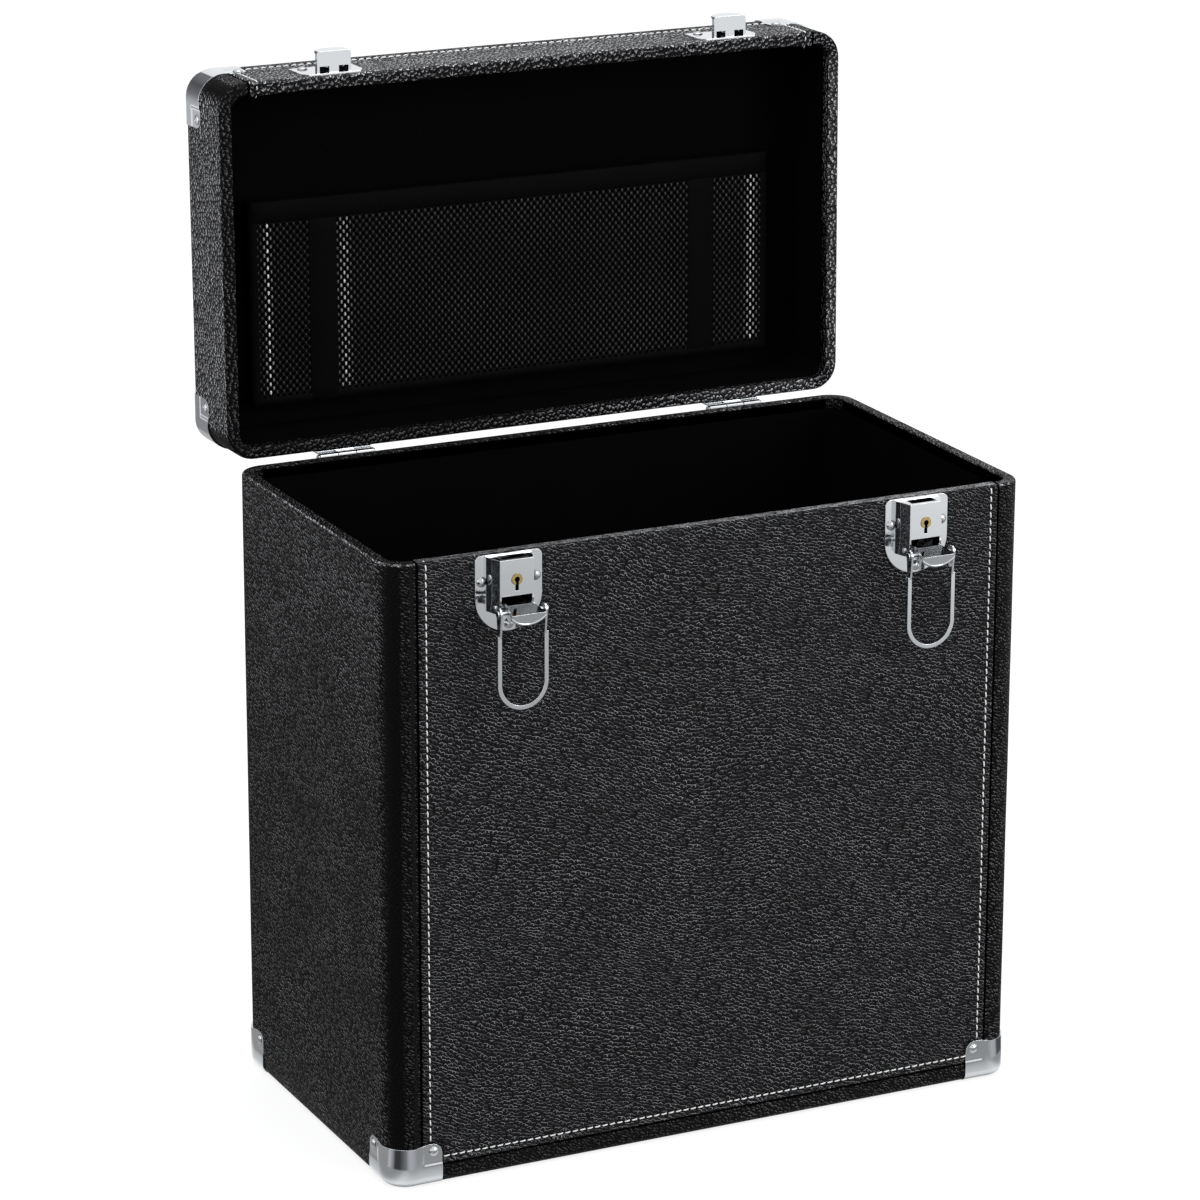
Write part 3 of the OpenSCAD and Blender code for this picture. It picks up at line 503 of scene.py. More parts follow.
def covering(part, material, wall, rim, right_rim):
    profile = covering_profile(part.height)
    shape = Shape()
    rows, crest, skin = [], [], []
    around = 0.0
    last = None
    for c, n, stretch in stations():
        spot = (c[0] + n[0] * CORNER_R, c[1] + n[1] * CORNER_R)
        around += dist(spot, last) if last else 0.0
        last = spot
        row = []
        up = 0.0
        before = profile[0]
        for inset, z in profile:
            up += dist(before, (inset, z))
            before = (inset, z)
            skin.append((around, up))
            uneven = 0.12 * noise.noise(Vector((c[0] * 0.02 + n[0], c[1] * 0.02 + n[1], z * 0.02)))
            reach = CORNER_R - inset + (uneven if inset < 1.0 else 0.0)
            row.append(part.place(c[0] + n[0] * reach, c[1] + n[1] * reach, z))
            crest.append(covering_grain_and_glint(part, c, n, stretch, inset, z, wall, rim, right_rim))
        rows.append(row)
    shape.grid(rows, closed_u=True)
    end = flat_end()
    shape.grid([[part.place(x, y, FLAT_END - 0.02) for x, y in row] for row in end])
    skin += [(x + END_SKIN, y + END_SKIN) for row in end for x, y in row]
    crest += [HIDDEN_GRAIN_AND_GLINT] * (len(skin) - len(crest))
    make(part.name + "_covering_skin", shape, material, part.name, [part.name + "_covering"],
         flip=part.flip, sharp=60, layers={"crest": crest, "skin": skin})


def edge_height(d):
    """Rolled edge, stitched valley and flat field of the front panel, over the covering."""
    for (a, u), (b, v) in zip(EDGE_ROLL, EDGE_ROLL[1:]):
        if d <= b:
            return u + (v - u) * smoothstep(a, b, d)
    return EDGE_ROLL[-1][1]


# A step of the panel's way: length along it, inset from the front, height, outward direction as (y, z)
Step = namedtuple("Step", "along inset z out")


def front_path(h):
    """The panel's way up the front and over the rim."""
    eave = h - RIM_OUT_R
    heights = [SEAM_HEIGHT + v for v in NEAR_EDGE + [9.8, 10.8, 11.6, 12.4, 13.4, 15]]
    count = max(2, int((eave - heights[-1]) / 9))
    heights += [heights[-1] + (eave - heights[-1]) * i / count for i in range(1, count + 1)]
    steps = [Step(z - SEAM_HEIGHT, 0.0, z, (-1.0, 0.0)) for z in heights]
    along = eave - SEAM_HEIGHT
    for i in range(1, 6):
        a = radians(18 * i)
        steps.append(Step(along + RIM_OUT_R * a, RIM_OUT_R * (1 - cos(a)), eave + RIM_OUT_R * sin(a),
                          (-cos(a), sin(a))))
    along += RIM_OUT_R * pi / 2
    flat = WALL - RIM_OUT_R - RIM_IN_R
    steps += [Step(along + flat * t, RIM_OUT_R + flat * t, h, (0.0, 1.0)) for t in (0.5, 1.0)]
    along += flat
    for i in range(1, 4):
        a = radians(30 * i)
        steps.append(Step(along + RIM_IN_R * a, WALL - RIM_IN_R * (1 - sin(a)),
                          h - RIM_IN_R * (1 - cos(a)), (sin(a), cos(a))))
    along += RIM_IN_R * pi / 2
    steps.append(Step(along + 3.0, WALL, h - RIM_IN_R - 3.0, (1.0, 0.0)))
    return steps


def under_mouth(h, step, lift):
    """The lift, kept low on the rim so that tray and lid still close on each other."""
    rise = step.out[1]
    return min(lift, (0.03 + h - step.z) / rise) if rise > 0.05 else lift


def panel_point(x, step, lift):
    return (x, -D / 2 + step.inset + step.out[0] * lift, step.z + step.out[1] * lift)


def front_panel(part, material, wall, rim, rim_rise=0.0, foot=0.0):
    """The stitched front panel.

    Its grain and painted glints stand out by wall on the field, by rim on the rim, more to the right with
    rim_rise, and by foot more along the bottom's roll: painted light, stronger where more light falls.
    """
    half = W / 2 - SEAM_INSET
    inner = [half - v for v in NEAR_EDGE + [9.6, 10.4, 11.2, 12, 13, 15]]
    xs = [-v for v in inner]
    xs += [inner[-1] * (2 * i / PANEL_COLUMNS - 1) for i in range(1, PANEL_COLUMNS)]
    xs += reversed(inner)
    path = front_path(part.height)
    shape = Shape()
    rows, skin, crest = [], [], []
    for x in xs:
        row = []
        for step in path:
            skin.append((x + PANEL_SKIN, step.along))
            d = min(half - abs(x), step.along)
            # Painted light: glints on the rim grow to the right, and fade beside the stitches as painted
            # shade
            if step.inset > 1.0:
                stood = rim * (1 + rim_rise * x / half)
            else:
                stood = wall * (1 - 0.75 * hump(d - STITCH_IN, 0.9))
            # Painted highlight along the bottom's roll
            crest.append(stood + foot * hump(step.along - 1.5, 0.5))
            lift = edge_height(d) + 0.05 * noise.noise(Vector((x * 0.03, step.z * 0.03, 7.0)))
            # The panel runs flat under the corner protectors
            beside = max(W / 2 - abs(x) - REACH, step.z - PROTECTOR_H)
            pressed = 1.0 - smoothstep(0.2, 2.2, beside)
            lift = under_mouth(part.height, step, lift * (1 - pressed) - 0.25 * pressed)
            row.append(part.place(*panel_point(x, step, lift)))
        rows.append(row)
    shape.grid(rows)
    make(part.name + "_front_panel_skin", shape, material, part.name,
         [part.name + "_front_panel"], flip=part.flip, layers={"skin": skin, "crest": crest})


def painted_gap_shade(part):
    """Painted shade: a dark strip in the slit by the panel's rolled edge, up both sides and the bottom."""
    half, reach = W / 2 - SEAM_INSET, W / 2 - REACH
    across = ((1.25, -0.12), (1.0, 0.15), (0.35, 0.17), (-0.2, 0.05), (-0.35, -0.3))
    path = [step for step in front_path(part.height) if step.z > PROTECTOR_H - 2.4 or step.inset > 0]
    shape = Shape()
    for side in (-1, 1):
        shape.grid([[part.place(*panel_point(side * (half + d), step, lift)) for d, lift in across]
                    for step in path])
    shape.grid([[part.place(reach * (i / 15 - 1), -D / 2 - lift, SEAM_HEIGHT - d * 0.8) for d, lift in across]
                for i in range(31)])
    make(part.name + "_painted_gap_shade", shape, PAINTED_GAP_SHADE, part.name, flip=part.flip)


def stitch(shape, at, along, out):
    """One thread stitch: a short tube whose ends dive into the leatherette."""
    t, n = along.normalized(), out.normalized()
    side = t.cross(n)
    around = [tau * k / STITCH_SIDES for k in range(STITCH_SIDES)]
    rows = []
    # Place along the stitch, lift, and share of its radius
    for s, lift, share in ((-0.5, -0.35, 0.682), (-0.38, 0.12, 0.955), (-0.12, 0.3, 1.0), (0.12, 0.3, 1.0),
                           (0.38, 0.12, 0.955), (0.5, -0.35, 0.682)):
        centre = at + t * (s * STITCH_LENGTH) + n * lift
        r = STITCH_R * share
        rows.append([tuple(centre + side * (r * cos(q)) + n * (r * sin(q))) for q in around])
    base = shape.grid(rows, closed_v=True)
    shape.fan([base + k for k in range(STITCH_SIDES)])
    shape.fan([base + (len(rows) - 1) * STITCH_SIDES + k for k in range(STITCH_SIDES)], reverse=True)


def run_stitches(shape, line, place, pitch=4.1):
    """Stitches at an even pitch along a line of (point, outward direction)."""
    points = [placed(place, p, n) for p, n in line]
    carried = pitch / 2
    for (a, na), (b, nb) in zip(points, points[1:]):
        length = (b - a).length
        # On long straight stretches each stitch slants a little
        tilt = na.cross(b - a).normalized() * 0.1 if length >= 8 else Vector((0.0, 0.0, 0.0))
        while carried < length:
            t = carried / length
            stitch(shape, a.lerp(b, t), (b - a).normalized() + tilt, na.lerp(nb, t))
            carried += pitch
        carried -= length


def panel_stitches(part):
    """Up both sides and over the rim, sunk there so that the lid closes, and along the bottom."""
    shape = Shape()
    half, reach = W / 2 - SEAM_INSET - STITCH_IN, W / 2 - REACH - 0.5
    path = [step for step in front_path(part.height)[:-1] if step.z >= PROTECTOR_H + 0.5 or step.inset > 0]
    for x in (-half, half):
        run_stitches(shape, [(panel_point(x, step, 0.3 if step.out[1] < 0.5 else -0.49), (0.0, *step.out))
                             for step in path], part.place)
    run_stitches(shape, [((x, -D / 2 - 0.3, SEAM_HEIGHT + STITCH_IN), (0, -1, 0)) for x in (-reach, reach)],
                 part.place)
    make(part.name + "_stitches", shape, THREAD, part.name)


# ---- Corner protectors and rivets ----

def protector_top(a):
    """Height of a protector's upper edge at a distance along its face from the case's corner."""
    if a > REACH - EAR:
        t = min(1.0, (a - (REACH - EAR)) / EAR)
        return PROTECTOR_H - EAR + EAR * sqrt(max(0.0, 1 - t * t))
    return PROTECTOR_H - 1.4 * (1 - smoothstep(8.0, REACH - EAR - 1.0, a))


def pressed_pad(a, z):
    """The pad round the rivet is pressed in, with a soft step."""
    return -0.42 * smoothstep(REACH - 11.1, REACH - 9.3, a) * smoothstep(10.4, 12.0, z)


def protector_sheets(x_side, y_side, place):
    """A pressed corner over two walls, the upright corner and the underside: its outer and inner sheet."""
    ends = [REACH - v for v in (0, 0.3, 1, 2, 3.2, 4.6, 6, 8, 9, 9.6, 10.2, 10.8, 11.4)] + [CORNER_R]
    # Places across: a distance along a face from the corner, or an angle round the corner
    across = [(a, None) for a in ends]
    across += [(None, 9.0 * i) for i in range(1, 10)]
    across += [(-a, None) for a in reversed(ends)]
    levels = [(EDGE_R + SHEET) * k for k in (1.0, 1.5, 1.9)]
    levels += [10.0, 10.6, 11.2, 11.8, 12.6, 13.4, 14.5, 16, 18, 20, PROTECTOR_H]
    sheets = []
    for level in (SHEET, 0.0):
        rows = []
        for a, turn in across:
            edge = EDGE_R
            if turn is None:
                along = abs(a)
                centre = (along, CORNER_R) if a > 0 else (CORNER_R, along)
                n = (0.0, -1.0) if a > 0 else (-1.0, 0.0)
                under = min(33.5 - along, max(along, CORNER_R))
            else:
                along = 8.0
                centre = (CORNER_R, CORNER_R)
                q = radians(270 - turn)
                n = (cos(q), sin(q))
                under = CORNER_R - 0.02
                edge -= 1.3 * sin(radians(2 * turn))
            row = [(inset, SHEET - level) for inset in (under, (under + edge) / 2, edge + 0.01)]
            row += arc(edge, edge + SHEET, edge + level, -90, 0, 7)[1:]
            top = protector_top(along)
            row += [(-level - pressed_pad(along, min(z, top)), min(z, top)) for z in levels]
            rows.append([place(x_side * (W / 2 - centre[0] - n[0] * (CORNER_R - inset)),
                               y_side * (D / 2 - centre[1] - n[1] * (CORNER_R - inset)), z)
                         for inset, z in row])
        sheets.append(rows)
    return sheets


def add_protector(part, corner, x_side, y_side):
    shape = Shape()
    outer, inner = protector_sheets(x_side, y_side, part.place)
    nu, nv = len(outer), len(outer[0])
    a = shape.grid(outer)
    outside = len(shape.faces)
    b = shape.grid(inner)
    shape.faces[outside:] = [tuple(reversed(f)) for f in shape.faces[outside:]]
    # The sheet's edge, all round
    last = (nu - 1) * nv
    edge = [(i * nv + nv - 1, i * nv + 2 * nv - 1) for i in range(nu - 1)]
    edge += [(i * nv + nv, i * nv) for i in range(nu - 1)]
    edge += [(j, j + 1) for j in range(nv - 1)]
    edge += [(last + j + 1, last + j) for j in range(nv - 1)]
    shape.faces += [(a + p, a + q, b + q, b + p) for p, q in edge]
    make(f"{part.name}_protector_{corner}", shape, CHROME, part.name,
         [f"{part.name}_corner_{corner}"], flip=(x_side * y_side > 0) != part.flip, sharp=50)


def dome(shape, at, out):
    """A domed rivet head standing on a surface."""
    n = out.normalized()
    a = n.orthogonal().normalized()
    b = n.cross(a)
    rise = RIVET_RISE - RIVET_FOOT
    ball = (RIVET_R * RIVET_R + rise * rise) / (2 * rise)
    spread = asin(RIVET_R / ball)
    profile = [(RIVET_R, -0.6), (RIVET_R, RIVET_FOOT * 0.6)]
    for i in range(7):
        q = spread * (1 - i / 7)
        profile.append((ball * sin(q), RIVET_RISE - ball + ball * cos(q)))
    rows = []
    for k in range(RIVET_SIDES):
        q = tau * k / RIVET_SIDES
        u = a * cos(q) + b * sin(q)
        rows.append([tuple(at + u * r + n * z) for r, z in profile])
    base = shape.grid(rows, closed_u=True)
    nv = len(profile)
    shape.fan([base + k * nv + nv - 1 for k in range(RIVET_SIDES)])


def rivets(group, place, body, spots):
    """The domed heads of a group of rivets, at spots of (point, outward direction)."""
    shape = Shape()
    for at, out in spots:
        dome(shape, *placed(place, at, out))
    make(group + "_rivet_heads", shape, CHROME_RIVET, body, [group + "_rivets"], sharp=50)


def both_sides(spots, x=LATCH_X):
    return [((sx * x + p[0], p[1], p[2]), n) for sx in (-1, 1) for p, n in spots]


def wall_spots(y, facing, z, spots):
    """Spots on an upright wall at both latches or hinges, given as (across, up)."""
    return both_sides([((px, y, z + pz), (0, facing, 0)) for px, pz in spots])


def corner_spots():
    spots = []
    off = 0.4
    for sx in (-1, 1):
        for sy in (-1, 1):
            spots.append(((sx * (W / 2 - 22), sy * (D / 2 + off), 18.0), (0, sy, 0)))
            spots.append(((sx * (W / 2 + off), sy * (D / 2 - 22), 18.0), (sx, 0, 0)))
    return spots


def all_rivets():
    front, back = -D / 2 - 1.0, HINGE_Y - 2.0
    rivets("base_corner", as_is, "base", corner_spots())
    rivets("lid_corner", as_lid, "lid", corner_spots())
    rivets("latch", as_is, "base", wall_spots(front, -1, H, ((-14.2, -13.2), (14.2, -13.2), (0, -35.4))))
    rivets("catch", on_lid, "lid", wall_spots(front, -1, LID_MOUTH, ((-11, 18), (11, 18))))
    rivets("hinge_base", as_is, "base", wall_spots(back, 1, HINGE_Z, ((-9, -10), (9, -10), (0, -20))))
    rivets("hinge_lid", on_lid, "lid", wall_spots(back, 1, HINGE_Z, ((-9, 10), (9, 10), (0, 20))))
    rivets("handle", on_lid, "lid", both_sides([((px, py, LID_TOP + 1.2), (0, 0, 1)) for px in (-9, 9)
                                                for py in (-7.5, 7.5)], x=HANDLE_SPAN / 2))


def painted_key_slot_shade():
    """Painted shade: dark plates inside the lock housings, behind their key slots, for the shade there."""
    shape = Shape()
    y, heights = -104.8, (301.2, 303.0, 304.9)
    for x in (-LATCH_X, LATCH_X):
        shape.grid([[(x + dx, y, z) for z in heights] for dx in (-1.5, 0.0, 1.5)])
    make("lock_slot_shade_plates", shape, PAINTED_GAP_SHADE, "base")


# ---- Mesh pocket ----

POCKET_W, POCKET_TOP, POCKET_H, POCKET_DEPTH = 294.0, 67.0, 106.0, 10.0
BAND_H = 11.5
TAPE_X, TAPE_W = 108.0, 16.0
BINDING_W = 4.0
SOFT_EDGE = 0.9
NET_Z = LID_TOP - WALL - POCKET_DEPTH
PITCH_X, PITCH_V = 3.6, 4.3
KNOT_SIDES = 8


def pocket_slack(x, v):
    """How far the net stands off the lid's inner face beyond its plain place: it bellies at its mouth."""
    u = 2 * x / POCKET_W
    belly = (1 - u * u) * (1.6 * exp(-v / 30.0) + 0.5 * sin(pi * min(1.0, v / POCKET_H)))
    return belly + 0.35 * noise.noise(Vector((x * 0.03, v * 0.03, 3.0)))


def pocket_point(x, v, lift=0.0):
    """A point of the pocket: across, down from its mouth, and out from its surface."""
    return on_lid(x, -D / 2 + POCKET_TOP + v, NET_Z - pocket_slack(x, v) - lift)


def knot_brightness(x, v):
    """Painted highlights: knots near the sides and beside the tape glint more."""
    near = hump(x + 138, 1.9) + 0.7 * hump(x + 96, 3.0) + 0.8 * hump(x - 138, 3.0)
    drift = 0.5 + 0.5 * noise.noise(Vector((x * 0.02, v * 0.03, 11.0)))
    speck = 0.5 + 0.5 * noise.noise(Vector((x * 0.9, v * 0.9, 5.0)))
    beside_tape = smoothstep(116, 130, abs(x)) if x < -110 else 1.0
    return min(1.0, 0.05 + 1.2 * near * (0.45 + 0.55 * speck) + 0.2 * drift * speck * beside_tape)


def add_knot(knots, x, v, size):
    """A low round knot: two rings and a tip."""
    first = len(knots.points)
    for share, lift in ((1.0, 0.12), (0.62, 0.42)):
        for k in range(KNOT_SIDES):
            q = tau * k / KNOT_SIDES
            knots.points.append(pocket_point(x + 0.58 * size * share * cos(q),
                                             v + 1.15 * size * share * sin(q), lift))
    knots.points.append(pocket_point(x, v, 0.52))
    for k in range(KNOT_SIDES):
        a, b = first + k, first + (k + 1) % KNOT_SIDES
        knots.faces.append((a, b, b + KNOT_SIDES, a + KNOT_SIDES))
        knots.faces.append((a + KNOT_SIDES, b + KNOT_SIDES, first + 2 * KNOT_SIDES))


def pocket_net():
    """Each cell is a six-sided frame; neighbours are offset by half a cell from row to row."""
    net, knots = Shape(), Shape()
    shine = []
    columns = int(POCKET_W / PITCH_X)
    cell_w = POCKET_W / columns
    rows = int((POCKET_H - 2.0) / (PITCH_V / 2))
    cell_h = (POCKET_H - 2.0) / rows
    frame_ring = [(0.0, -1.0), (0.5, -0.5), (0.5, 0.5), (0.0, 1.0), (-0.5, 0.5), (-0.5, -0.5)]
    hole = [(0.0, -0.68), (0.26, -0.3), (0.26, 0.3), (0.0, 0.68), (-0.26, 0.3), (-0.26, -0.3)]
    for r in range(rows):
        shifted = r % 2
        for c in range(columns - shifted):
            cx = -POCKET_W / 2 + (c + 0.5 + 0.5 * shifted) * cell_w
            cv = 1.0 + (r + 0.5) * cell_h
            base = len(net.points)
            for ox, ov in frame_ring:
                x = max(-POCKET_W / 2, min(POCKET_W / 2, cx + ox * cell_w))
                net.points.append(pocket_point(x, max(0.5, min(POCKET_H, cv + ov * cell_h))))
            for ox, ov in hole:
                net.points.append(pocket_point(cx + ox * cell_w, cv + ov * cell_h))
            for k in range(6):
                a, b = base + k, base + (k + 1) % 6
                net.faces.append((a, b, b + 6, a + 6))
            kx = cx + cell_w / 2
            if kx < POCKET_W / 2 - 2 and BAND_H < cv < POCKET_H - 5:
                glint = knot_brightness(kx, cv)
                before = len(knots.points)
                add_knot(knots, kx, cv, 0.8 + 0.25 * glint)
                shine += [glint] * (len(knots.points) - before)
    sheet = make("pocket_net_sheet", net, NET, "lid", ["pocket_net"])
    thicken(sheet, 0.35)
    dots = make("pocket_net_knots", knots, KNOT, "lid", flip=True, layers={"glint": shine})
    return sheet, dots


def soft_steps(a, b):
    """Places from a to b, close together near both."""
    count = max(2, int((b - a) / 6))
    near = (0.0, SOFT_EDGE * 0.4, SOFT_EDGE)
    middle = [a + SOFT_EDGE + (b - a - 2 * SOFT_EDGE) * i / count for i in range(1, count)]
    return [a + d for d in near] + middle + [b - d for d in reversed(near)]


def strip(name, x0, x1, v0, v1, lift, node=None):
    """A flat binding on the pocket, with soft edges."""
    shape = Shape()
    rows = []
    for x in soft_steps(x0, x1):
        row = []
        for v in soft_steps(v0, v1):
            d = max(0.0, min(x - x0, x1 - x, v - v0, v1 - v))
            row.append(pocket_point(x, v, lift * min(1.0, sqrt(d / SOFT_EDGE))))
        rows.append(row)
    shape.grid(rows)
    return make(name, shape, BAND, "lid", [node] if node else (), flip=True)


def gusset():
    """The cloth that joins the pocket's sides and bottom to the lid, with a pleat along it."""
    side = (0, 20, 40, 60, 80, 100, POCKET_H)
    line = [(-POCKET_W / 2, v) for v in side]
    line += [(-POCKET_W / 2 + POCKET_W * i / 24, POCKET_H) for i in range(1, 24)]
    line += [(POCKET_W / 2, v) for v in reversed(side)]
    rows = []
    for x, v in line:
        row = []
        for k in range(7):
            pleat = 0.6 * sin(tau * k / 6)
            z = NET_Z - pocket_slack(x, v)
            z += (LID_TOP - WALL - z) * k / 6
            if v >= POCKET_H and abs(x) < POCKET_W / 2 - 1:
                row.append(on_lid(x, -D / 2 + POCKET_TOP + v + pleat, z))
            else:
                row.append(on_lid(x + pleat * copysign(1, x), -D / 2 + POCKET_TOP + v, z))
        rows.append(row)
    shape = Shape()
    shape.grid(rows)
    return make("pocket_gusset_cloth", shape, BAND, "lid", ["pocket_gusset"])


def pocket():
    net, dots = pocket_net()
    edge = POCKET_W / 2
    bindings = [strip("pocket_top_band", -edge, edge, 0.0, BAND_H, 0.9, "pocket_band")]
    for name, x, node in (("left", -TAPE_X, "pocket_tapes"), ("right", TAPE_X, None)):
        bindings.append(strip("pocket_tape_" + name, x - TAPE_W / 2, x + TAPE_W / 2, BAND_H - 1, POCKET_H,
                              0.7, node))
    bindings.append(strip("pocket_low_binding", -edge, edge, POCKET_H - BINDING_W, POCKET_H, 0.7))
    for name, x in (("left", -edge), ("right", edge - BINDING_W)):
        bindings.append(strip("pocket_side_binding_" + name, x, x + BINDING_W, BAND_H - 1, POCKET_H, 0.6))
    sides = gusset()
    thicken(sides, 0.5)


# ---- Handle ----

HANDLE_SPAN, HANDLE_PIVOT = 124.0, 5.0
GRIP_W, GRIP_RISE = 20.0, 32.0
GRIP_LEAN = acos((GRIP_W / 2 + 0.3 - HANDLE_PIVOT) / GRIP_RISE)
GRIP_STEPS, GRIP_SIDES = 90, 28


def on_handle(x, y, z):
    """From the upright handle to where it hangs on the open lid."""
    c, s = cos(GRIP_LEAN), sin(GRIP_LEAN)
    return on_lid(x, y * c + z * s, LID_TOP + HANDLE_PIVOT - y * s + z * c)


def grip_point(t):
    c, s = cos(radians(t)), sin(radians(t))
    return (-copysign(abs(c) ** 0.55, c) * HANDLE_SPAN / 2, 10.0 + (GRIP_RISE - 10.0) * max(0.0, s) ** 0.6)


def grip_section(t):
    """At t degrees along the grip's arch: its centre, its slope, and 0 at the ends to 1 at the middle."""
    ax, az = grip_point(max(0.0, t - 1))
    bx, bz = grip_point(min(180.0, t + 1))
    swell = sin(radians(t)) ** 0.9 if 0 < t < 180 else 0.0
    return grip_point(t), atan2(bz - az, bx - ax), swell


def flattened(c):
    """A sine or cosine, for a slightly squared round."""
    return copysign(abs(c) ** 0.9, c)


def handle_grip():
    shape = Shape()
    rows, skin = [], []
    for k in range(GRIP_STEPS + 1):
        (x, z), q, swell = grip_section(180.0 * k / GRIP_STEPS)
        row = []
        for i in range(GRIP_SIDES):
            p = tau * i / GRIP_SIDES
            # A sewn seam runs along the underside of the grip
            seam = max(0.0, -cos(p)) ** 24
            n = (4.3 + 4.7 * swell) * flattened(cos(p)) + seam * 0.8 * swell
            skin.append((k * 1.9, i * 1.7))
            row.append(on_handle(x - n * sin(q), (3.9 + 6.1 * swell) * flattened(sin(p)),
                                 z + n * cos(q)))
        rows.append(row)
    base = shape.grid(rows, closed_v=True)
    shape.fan([base + i for i in range(GRIP_SIDES)])
    shape.fan([base + GRIP_STEPS * GRIP_SIDES + i for i in range(GRIP_SIDES)], reverse=True)
    grip = make("handle_grip_padded", shape, GRIP, "handle", ["handle_grip"],
                layers={"skin": skin, "crest": [0.4] * len(skin)})
    stitches = Shape()
    for side in (-1, 1):
        line = []
        for k in range(8, 83):
            (x, z), q, swell = grip_section(180.0 * k / GRIP_STEPS)
            n = 0.1 - (4.3 + 4.7 * swell) * 0.93
            line.append(((x - n * sin(q), side * 1.3 * (1 + swell), z + n * cos(q)),
                         (sin(q), side * 0.25, -cos(q))))
        run_stitches(stitches, line, on_handle, pitch=3.6)
    make("handle_grip_stitches", stitches, THREAD, "handle")


# ---- Camera, on the photograph's place ----

CAMERA_PLACE = (-1.0480, -2.1226, 0.9882)
YAW, PITCH, ROLL = (radians(v) for v in (25.94, 17.254, 0.141))


def add_camera():
    ahead = Vector((sin(YAW) * cos(PITCH), cos(YAW) * cos(PITCH), -sin(PITCH)))
    side = Vector((cos(YAW), -sin(YAW), 0.0))
    over = side.cross(ahead)
    right = cos(ROLL) * side + sin(ROLL) * over
    up = -sin(ROLL) * side + cos(ROLL) * over
    camera = bpy.data.objects.new("camera", bpy.data.cameras.new("camera"))
    camera.data.sensor_width = 36.0
    camera.data.lens = 147.32
    camera.data.clip_start = 0.1
    camera.data.clip_end = 30.0
    turn = Matrix((right, up, -ahead)).transposed().to_4x4()
    camera.matrix_world = Matrix.Translation(CAMERA_PLACE) @ turn
    SCENE.collection.objects.link(camera)
    SCENE.camera = camera


# ---- Studio ----

# Painted reflection of the floor, darker near the case as a painted shadow: what shiny surfaces see
# of it, by half the distance in metres from the case's foot
FLOOR_SHADES = ((0.0, 1.0), (0.003, 0.88), (0.006, 0.72), (0.013, 0.34), (0.2, 0.38), (0.44, 0.57),
                (0.7, 0.95))
# Painted reflections that the polished front corners see, as (degrees round the corner, strength)
LEFT_BANDS = ((181, 0.55), (188, 0.55), (199, 0.3), (207, 0.05), (222, 0.05), (233, 0.13), (244, 0.22),
              (252, 0.46), (262, 0.5), (276, 0.38))
RIGHT_BANDS = ((298, 0.36), (312, 0.5), (328, 0.45), (338, 0.1), (372, 0.08), (380, 0.5), (388, 1.0),
               (430, 1.0))
BANDS_FROM, BANDS_TO = 0.036, 0.085


def studio_world():
    """Plain pale light, and white for the rays that look at the studio directly."""
    SCENE.world = bpy.data.worlds.new("studio")
    m = Nodes("studio", SCENE.world)
    lit = m.add("Background", Color=(0.95, 0.97, 1.0), Strength=0.8)
    seen = m.add("Background", Color=(1.0, 1.0, 1.0), Strength=1.0)
    m.done(m.either(m.seen_by("Is Camera Ray", "Is Glossy Ray", "Is Transmission Ray"), lit, seen))


def stage_card(name, corners, material):
    mesh = bpy.data.meshes.new(name)
    mesh.from_pydata(corners, [], [tuple(range(len(corners)))])
    mesh.materials.append(material)
    obj = bpy.data.objects.new(name, mesh)
    SCENE.collection.objects.link(obj)
    return obj


def studio_floor():
    """White floor: lit paint that keeps the shadow, with its own white added for the rays that look at it.

    Shiny surfaces see a glowing painted reflection of it instead, by distance from the case: pale at its
    foot, greyer close by as a painted shadow, white far off.
    """
    m = Nodes("floor")
    paint = m.add("BsdfDiffuse", Color=(0.3, 0.3, 0.3))
    looked_at = m.seen_by("Is Camera Ray", "Is Transmission Ray")
    glow = m.add("Emission", Strength=m.times(looked_at, 0.8))
    plain = m.add("AddShader")
    m.fill(plain.inputs, (paint.outputs[0], glow.outputs[0]))
    place = m.add("SeparateXYZ", Vector=m.get("TexCoord", "Object")).outputs
    squares = []
    # Distances across count double, so that the ring is narrower beside the case than before it
    for axis, half, share in ((0, W / 2, 2.0), (1, D / 2, 1.0)):
        past = m.math("SUBTRACT", m.math("ABSOLUTE", place[axis]), half * MM)
        past = m.times(m.math("MAXIMUM", past, 0.0), share)
        squares.append(m.times(past, past))
    away = m.math("SQRT", m.math("ADD", *squares))
    mirrored = m.add("Emission", Color=m.ramp(m.times(away, 0.5), FLOOR_SHADES))
    material = m.done(m.either(m.seen_by("Is Glossy Ray"), plain, mirrored))
    stage_card("floor", [(x, y, -0.0002) for x, y in ((-9, -9), (9, -9), (9, 9), (-9, 9))], material)


def only_mirrored(card):
    card.visible_camera = False
    card.visible_diffuse = False
    card.visible_shadow = False
    card.visible_transmission = False


def reflected_card(name, corners, shade=None, rising=None):
    """A card that only shiny surfaces see, of one shade or of shades at shares of its height."""
    m = Nodes(name)
    if rising:
        height = m.get("SeparateXYZ", "Z", Vector=m.get("TexCoord", "Generated"))
        colour = m.ramp(height, rising, blue=1.05)
    else:
        colour = (shade, shade, shade * 1.05)
    # Painted reflection: the card glows
    only_mirrored(stage_card(name, corners, m.done(m.add("Emission", Color=colour))))


def flat_card(name, z, corners, shade):
    reflected_card(name, [(x, y, z) for x, y in corners], shade)


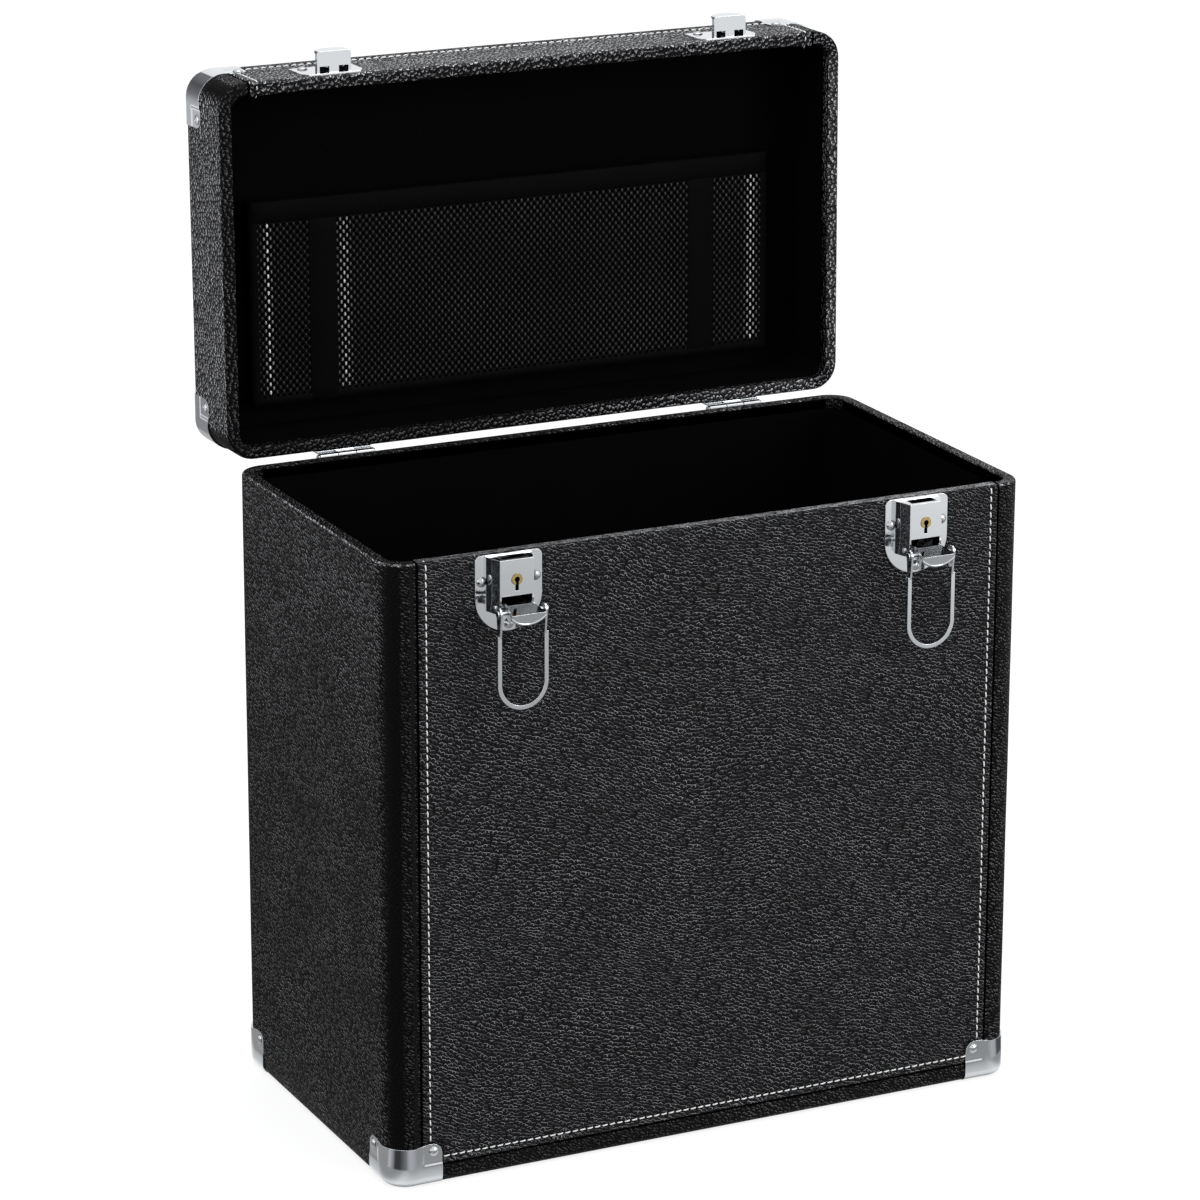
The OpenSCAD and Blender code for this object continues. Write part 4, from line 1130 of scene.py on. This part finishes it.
def corner_bands(name, side, shades):
    """Soft bands of light and dark on the floor round a front corner, which the polished corner shows."""
    # Painted reflection: the bands are a glowing card that only shiny surfaces see
    m = Nodes("corner_bands_" + name)
    # The gradient runs from 0 to 1 over 180 to 540 degrees
    turn = m.get("TexGradient", "Fac", gradient_type="RADIAL", Vector=m.get("TexCoord", "Object"))
    bands = m.ramp(turn, [(degrees / 360 - 0.5, shade) for degrees, shade in shades], blue=1.04)
    streaks = m.get("TexNoise", noise_dimensions="1D", Detail=2.0, W=m.times(turn, 90.0))
    strength = m.math("ADD", m.times(streaks, 0.5), 0.75)
    material = m.done(m.add("Emission", Color=bands, Strength=strength))
    start, end = shades[0][0], shades[-1][0]
    around = [radians(start + (end - start) * i / 24) for i in range(25)]
    corners = [(BANDS_FROM * cos(a), BANDS_FROM * sin(a), 0.0) for a in around]
    corners += [(BANDS_TO * cos(a), BANDS_TO * sin(a), 0.0) for a in reversed(around)]
    card = stage_card("corner_bands_" + name, corners, material)
    card.location = (side * (W / 2 - CORNER_R) * MM, (-D / 2 + CORNER_R) * MM, 0.0006)
    only_mirrored(card)


def lamp(name, at, size, power):
    light = bpy.data.lights.new(name, "AREA")
    light.shape = "RECTANGLE"
    light.size, light.size_y = size
    light.energy = power
    obj = bpy.data.objects.new(name, light)
    obj.location = at
    obj.rotation_euler = (Vector((0, 0, 0.25)) - Vector(at)).to_track_quat("-Z", "Y").to_euler()
    SCENE.collection.objects.link(obj)


def studio():
    studio_world()
    studio_floor()
    lamp("top_box", (0.1, -0.1, 2.4), (2.2, 1.6), 15)
    lamp("front_box", (1.4, -2.2, 1.2), (1.2, 1.6), 30)
    lamp("left_box", (-2.3, -0.4, 1.0), (1.0, 1.4), 10)
    # Painted reflections: a dark glowing card on the floor in front of the left corner, and greyer ones
    # behind the left side
    flat_card("flag_floor", 0.0005, ((-0.5, -0.3), (-0.2, -0.5), (-1.36, -2.77), (-2.4, -2.0), (-3.0, -0.72)),
              0.02)
    flat_card("flag_floor_back", 0.0005, ((-1.0, 0.65), (-0.2, 0.65), (-0.35, 1.5), (-1.3, 1.5)), 0.3)
    reflected_card("flag_back", [(-1.9, 2.0, 0.02), (-0.3, 2.0, 0.02), (0.2, 2.0, 2.1), (-1.9, 2.0, 2.1)],
                   rising=[(0.0, 0.6), (0.25, 0.2), (0.5, 0.1), (0.72, 0.3), (1.0, 0.8)])
    # Painted reflections: glowing cards overhead, which each raised lever shows by way of its housing
    flat_card("lever_flag_left", 1.5, ((0.59, -1.64), (0.79, -1.59), (0.59, -1.39)), 0.1)
    flat_card("lever_flag_right", 1.5, ((0.76, -1.8), (1.2, -1.75), (1.15, -1.25), (0.76, -1.2)), 0.25)
    corner_bands("left", -1, LEFT_BANDS)
    corner_bands("right", 1, RIGHT_BANDS)


# ---- Build ----

SCENE.view_settings.view_transform = "Standard"
add_camera()
studio()

# Painted light: the lid's higher values give it stronger painted glints, for the stronger light on it
covering(BASE, LEATHER, wall=0.45, rim=0.3, right_rim=0.9)
covering(LID, LID_LEATHER, wall=1.05, rim=0.17, right_rim=0.95)
front_panel(BASE, PANEL, wall=0.55, rim=1.8, rim_rise=0.5, foot=0.35)
front_panel(LID, LID_LEATHER, wall=1.2, rim=0.7)
for piece in (painted_gap_shade, panel_stitches):
    piece(BASE)
    piece(LID)
for sx, x_name in ((-1, "left"), (1, "right")):
    for sy, y_name in ((-1, "front"), (1, "rear")):
        add_protector(BASE, f"{y_name}_{x_name}", sx, sy)
        add_protector(LID, f"{y_name}_{x_name}", sx, sy)
all_rivets()
painted_key_slot_shade()
pocket()
handle_grip()

finishes = {"plywood": WOOD, "leatherette": PANEL, "lining": LINING, "mesh": BAND, "brass": BRASS,
            "steel": STEEL, "chrome": CHROME}
slots = {s["node"]: s["material_slot"] for s in frame["record"]["subparts"]}
for node, obj in frame["nodes"].items():
    obj.data.materials.clear()
    obj.data.materials.append(LEVER if node in ("lever_left", "lever_right") else finishes[slots[node]])
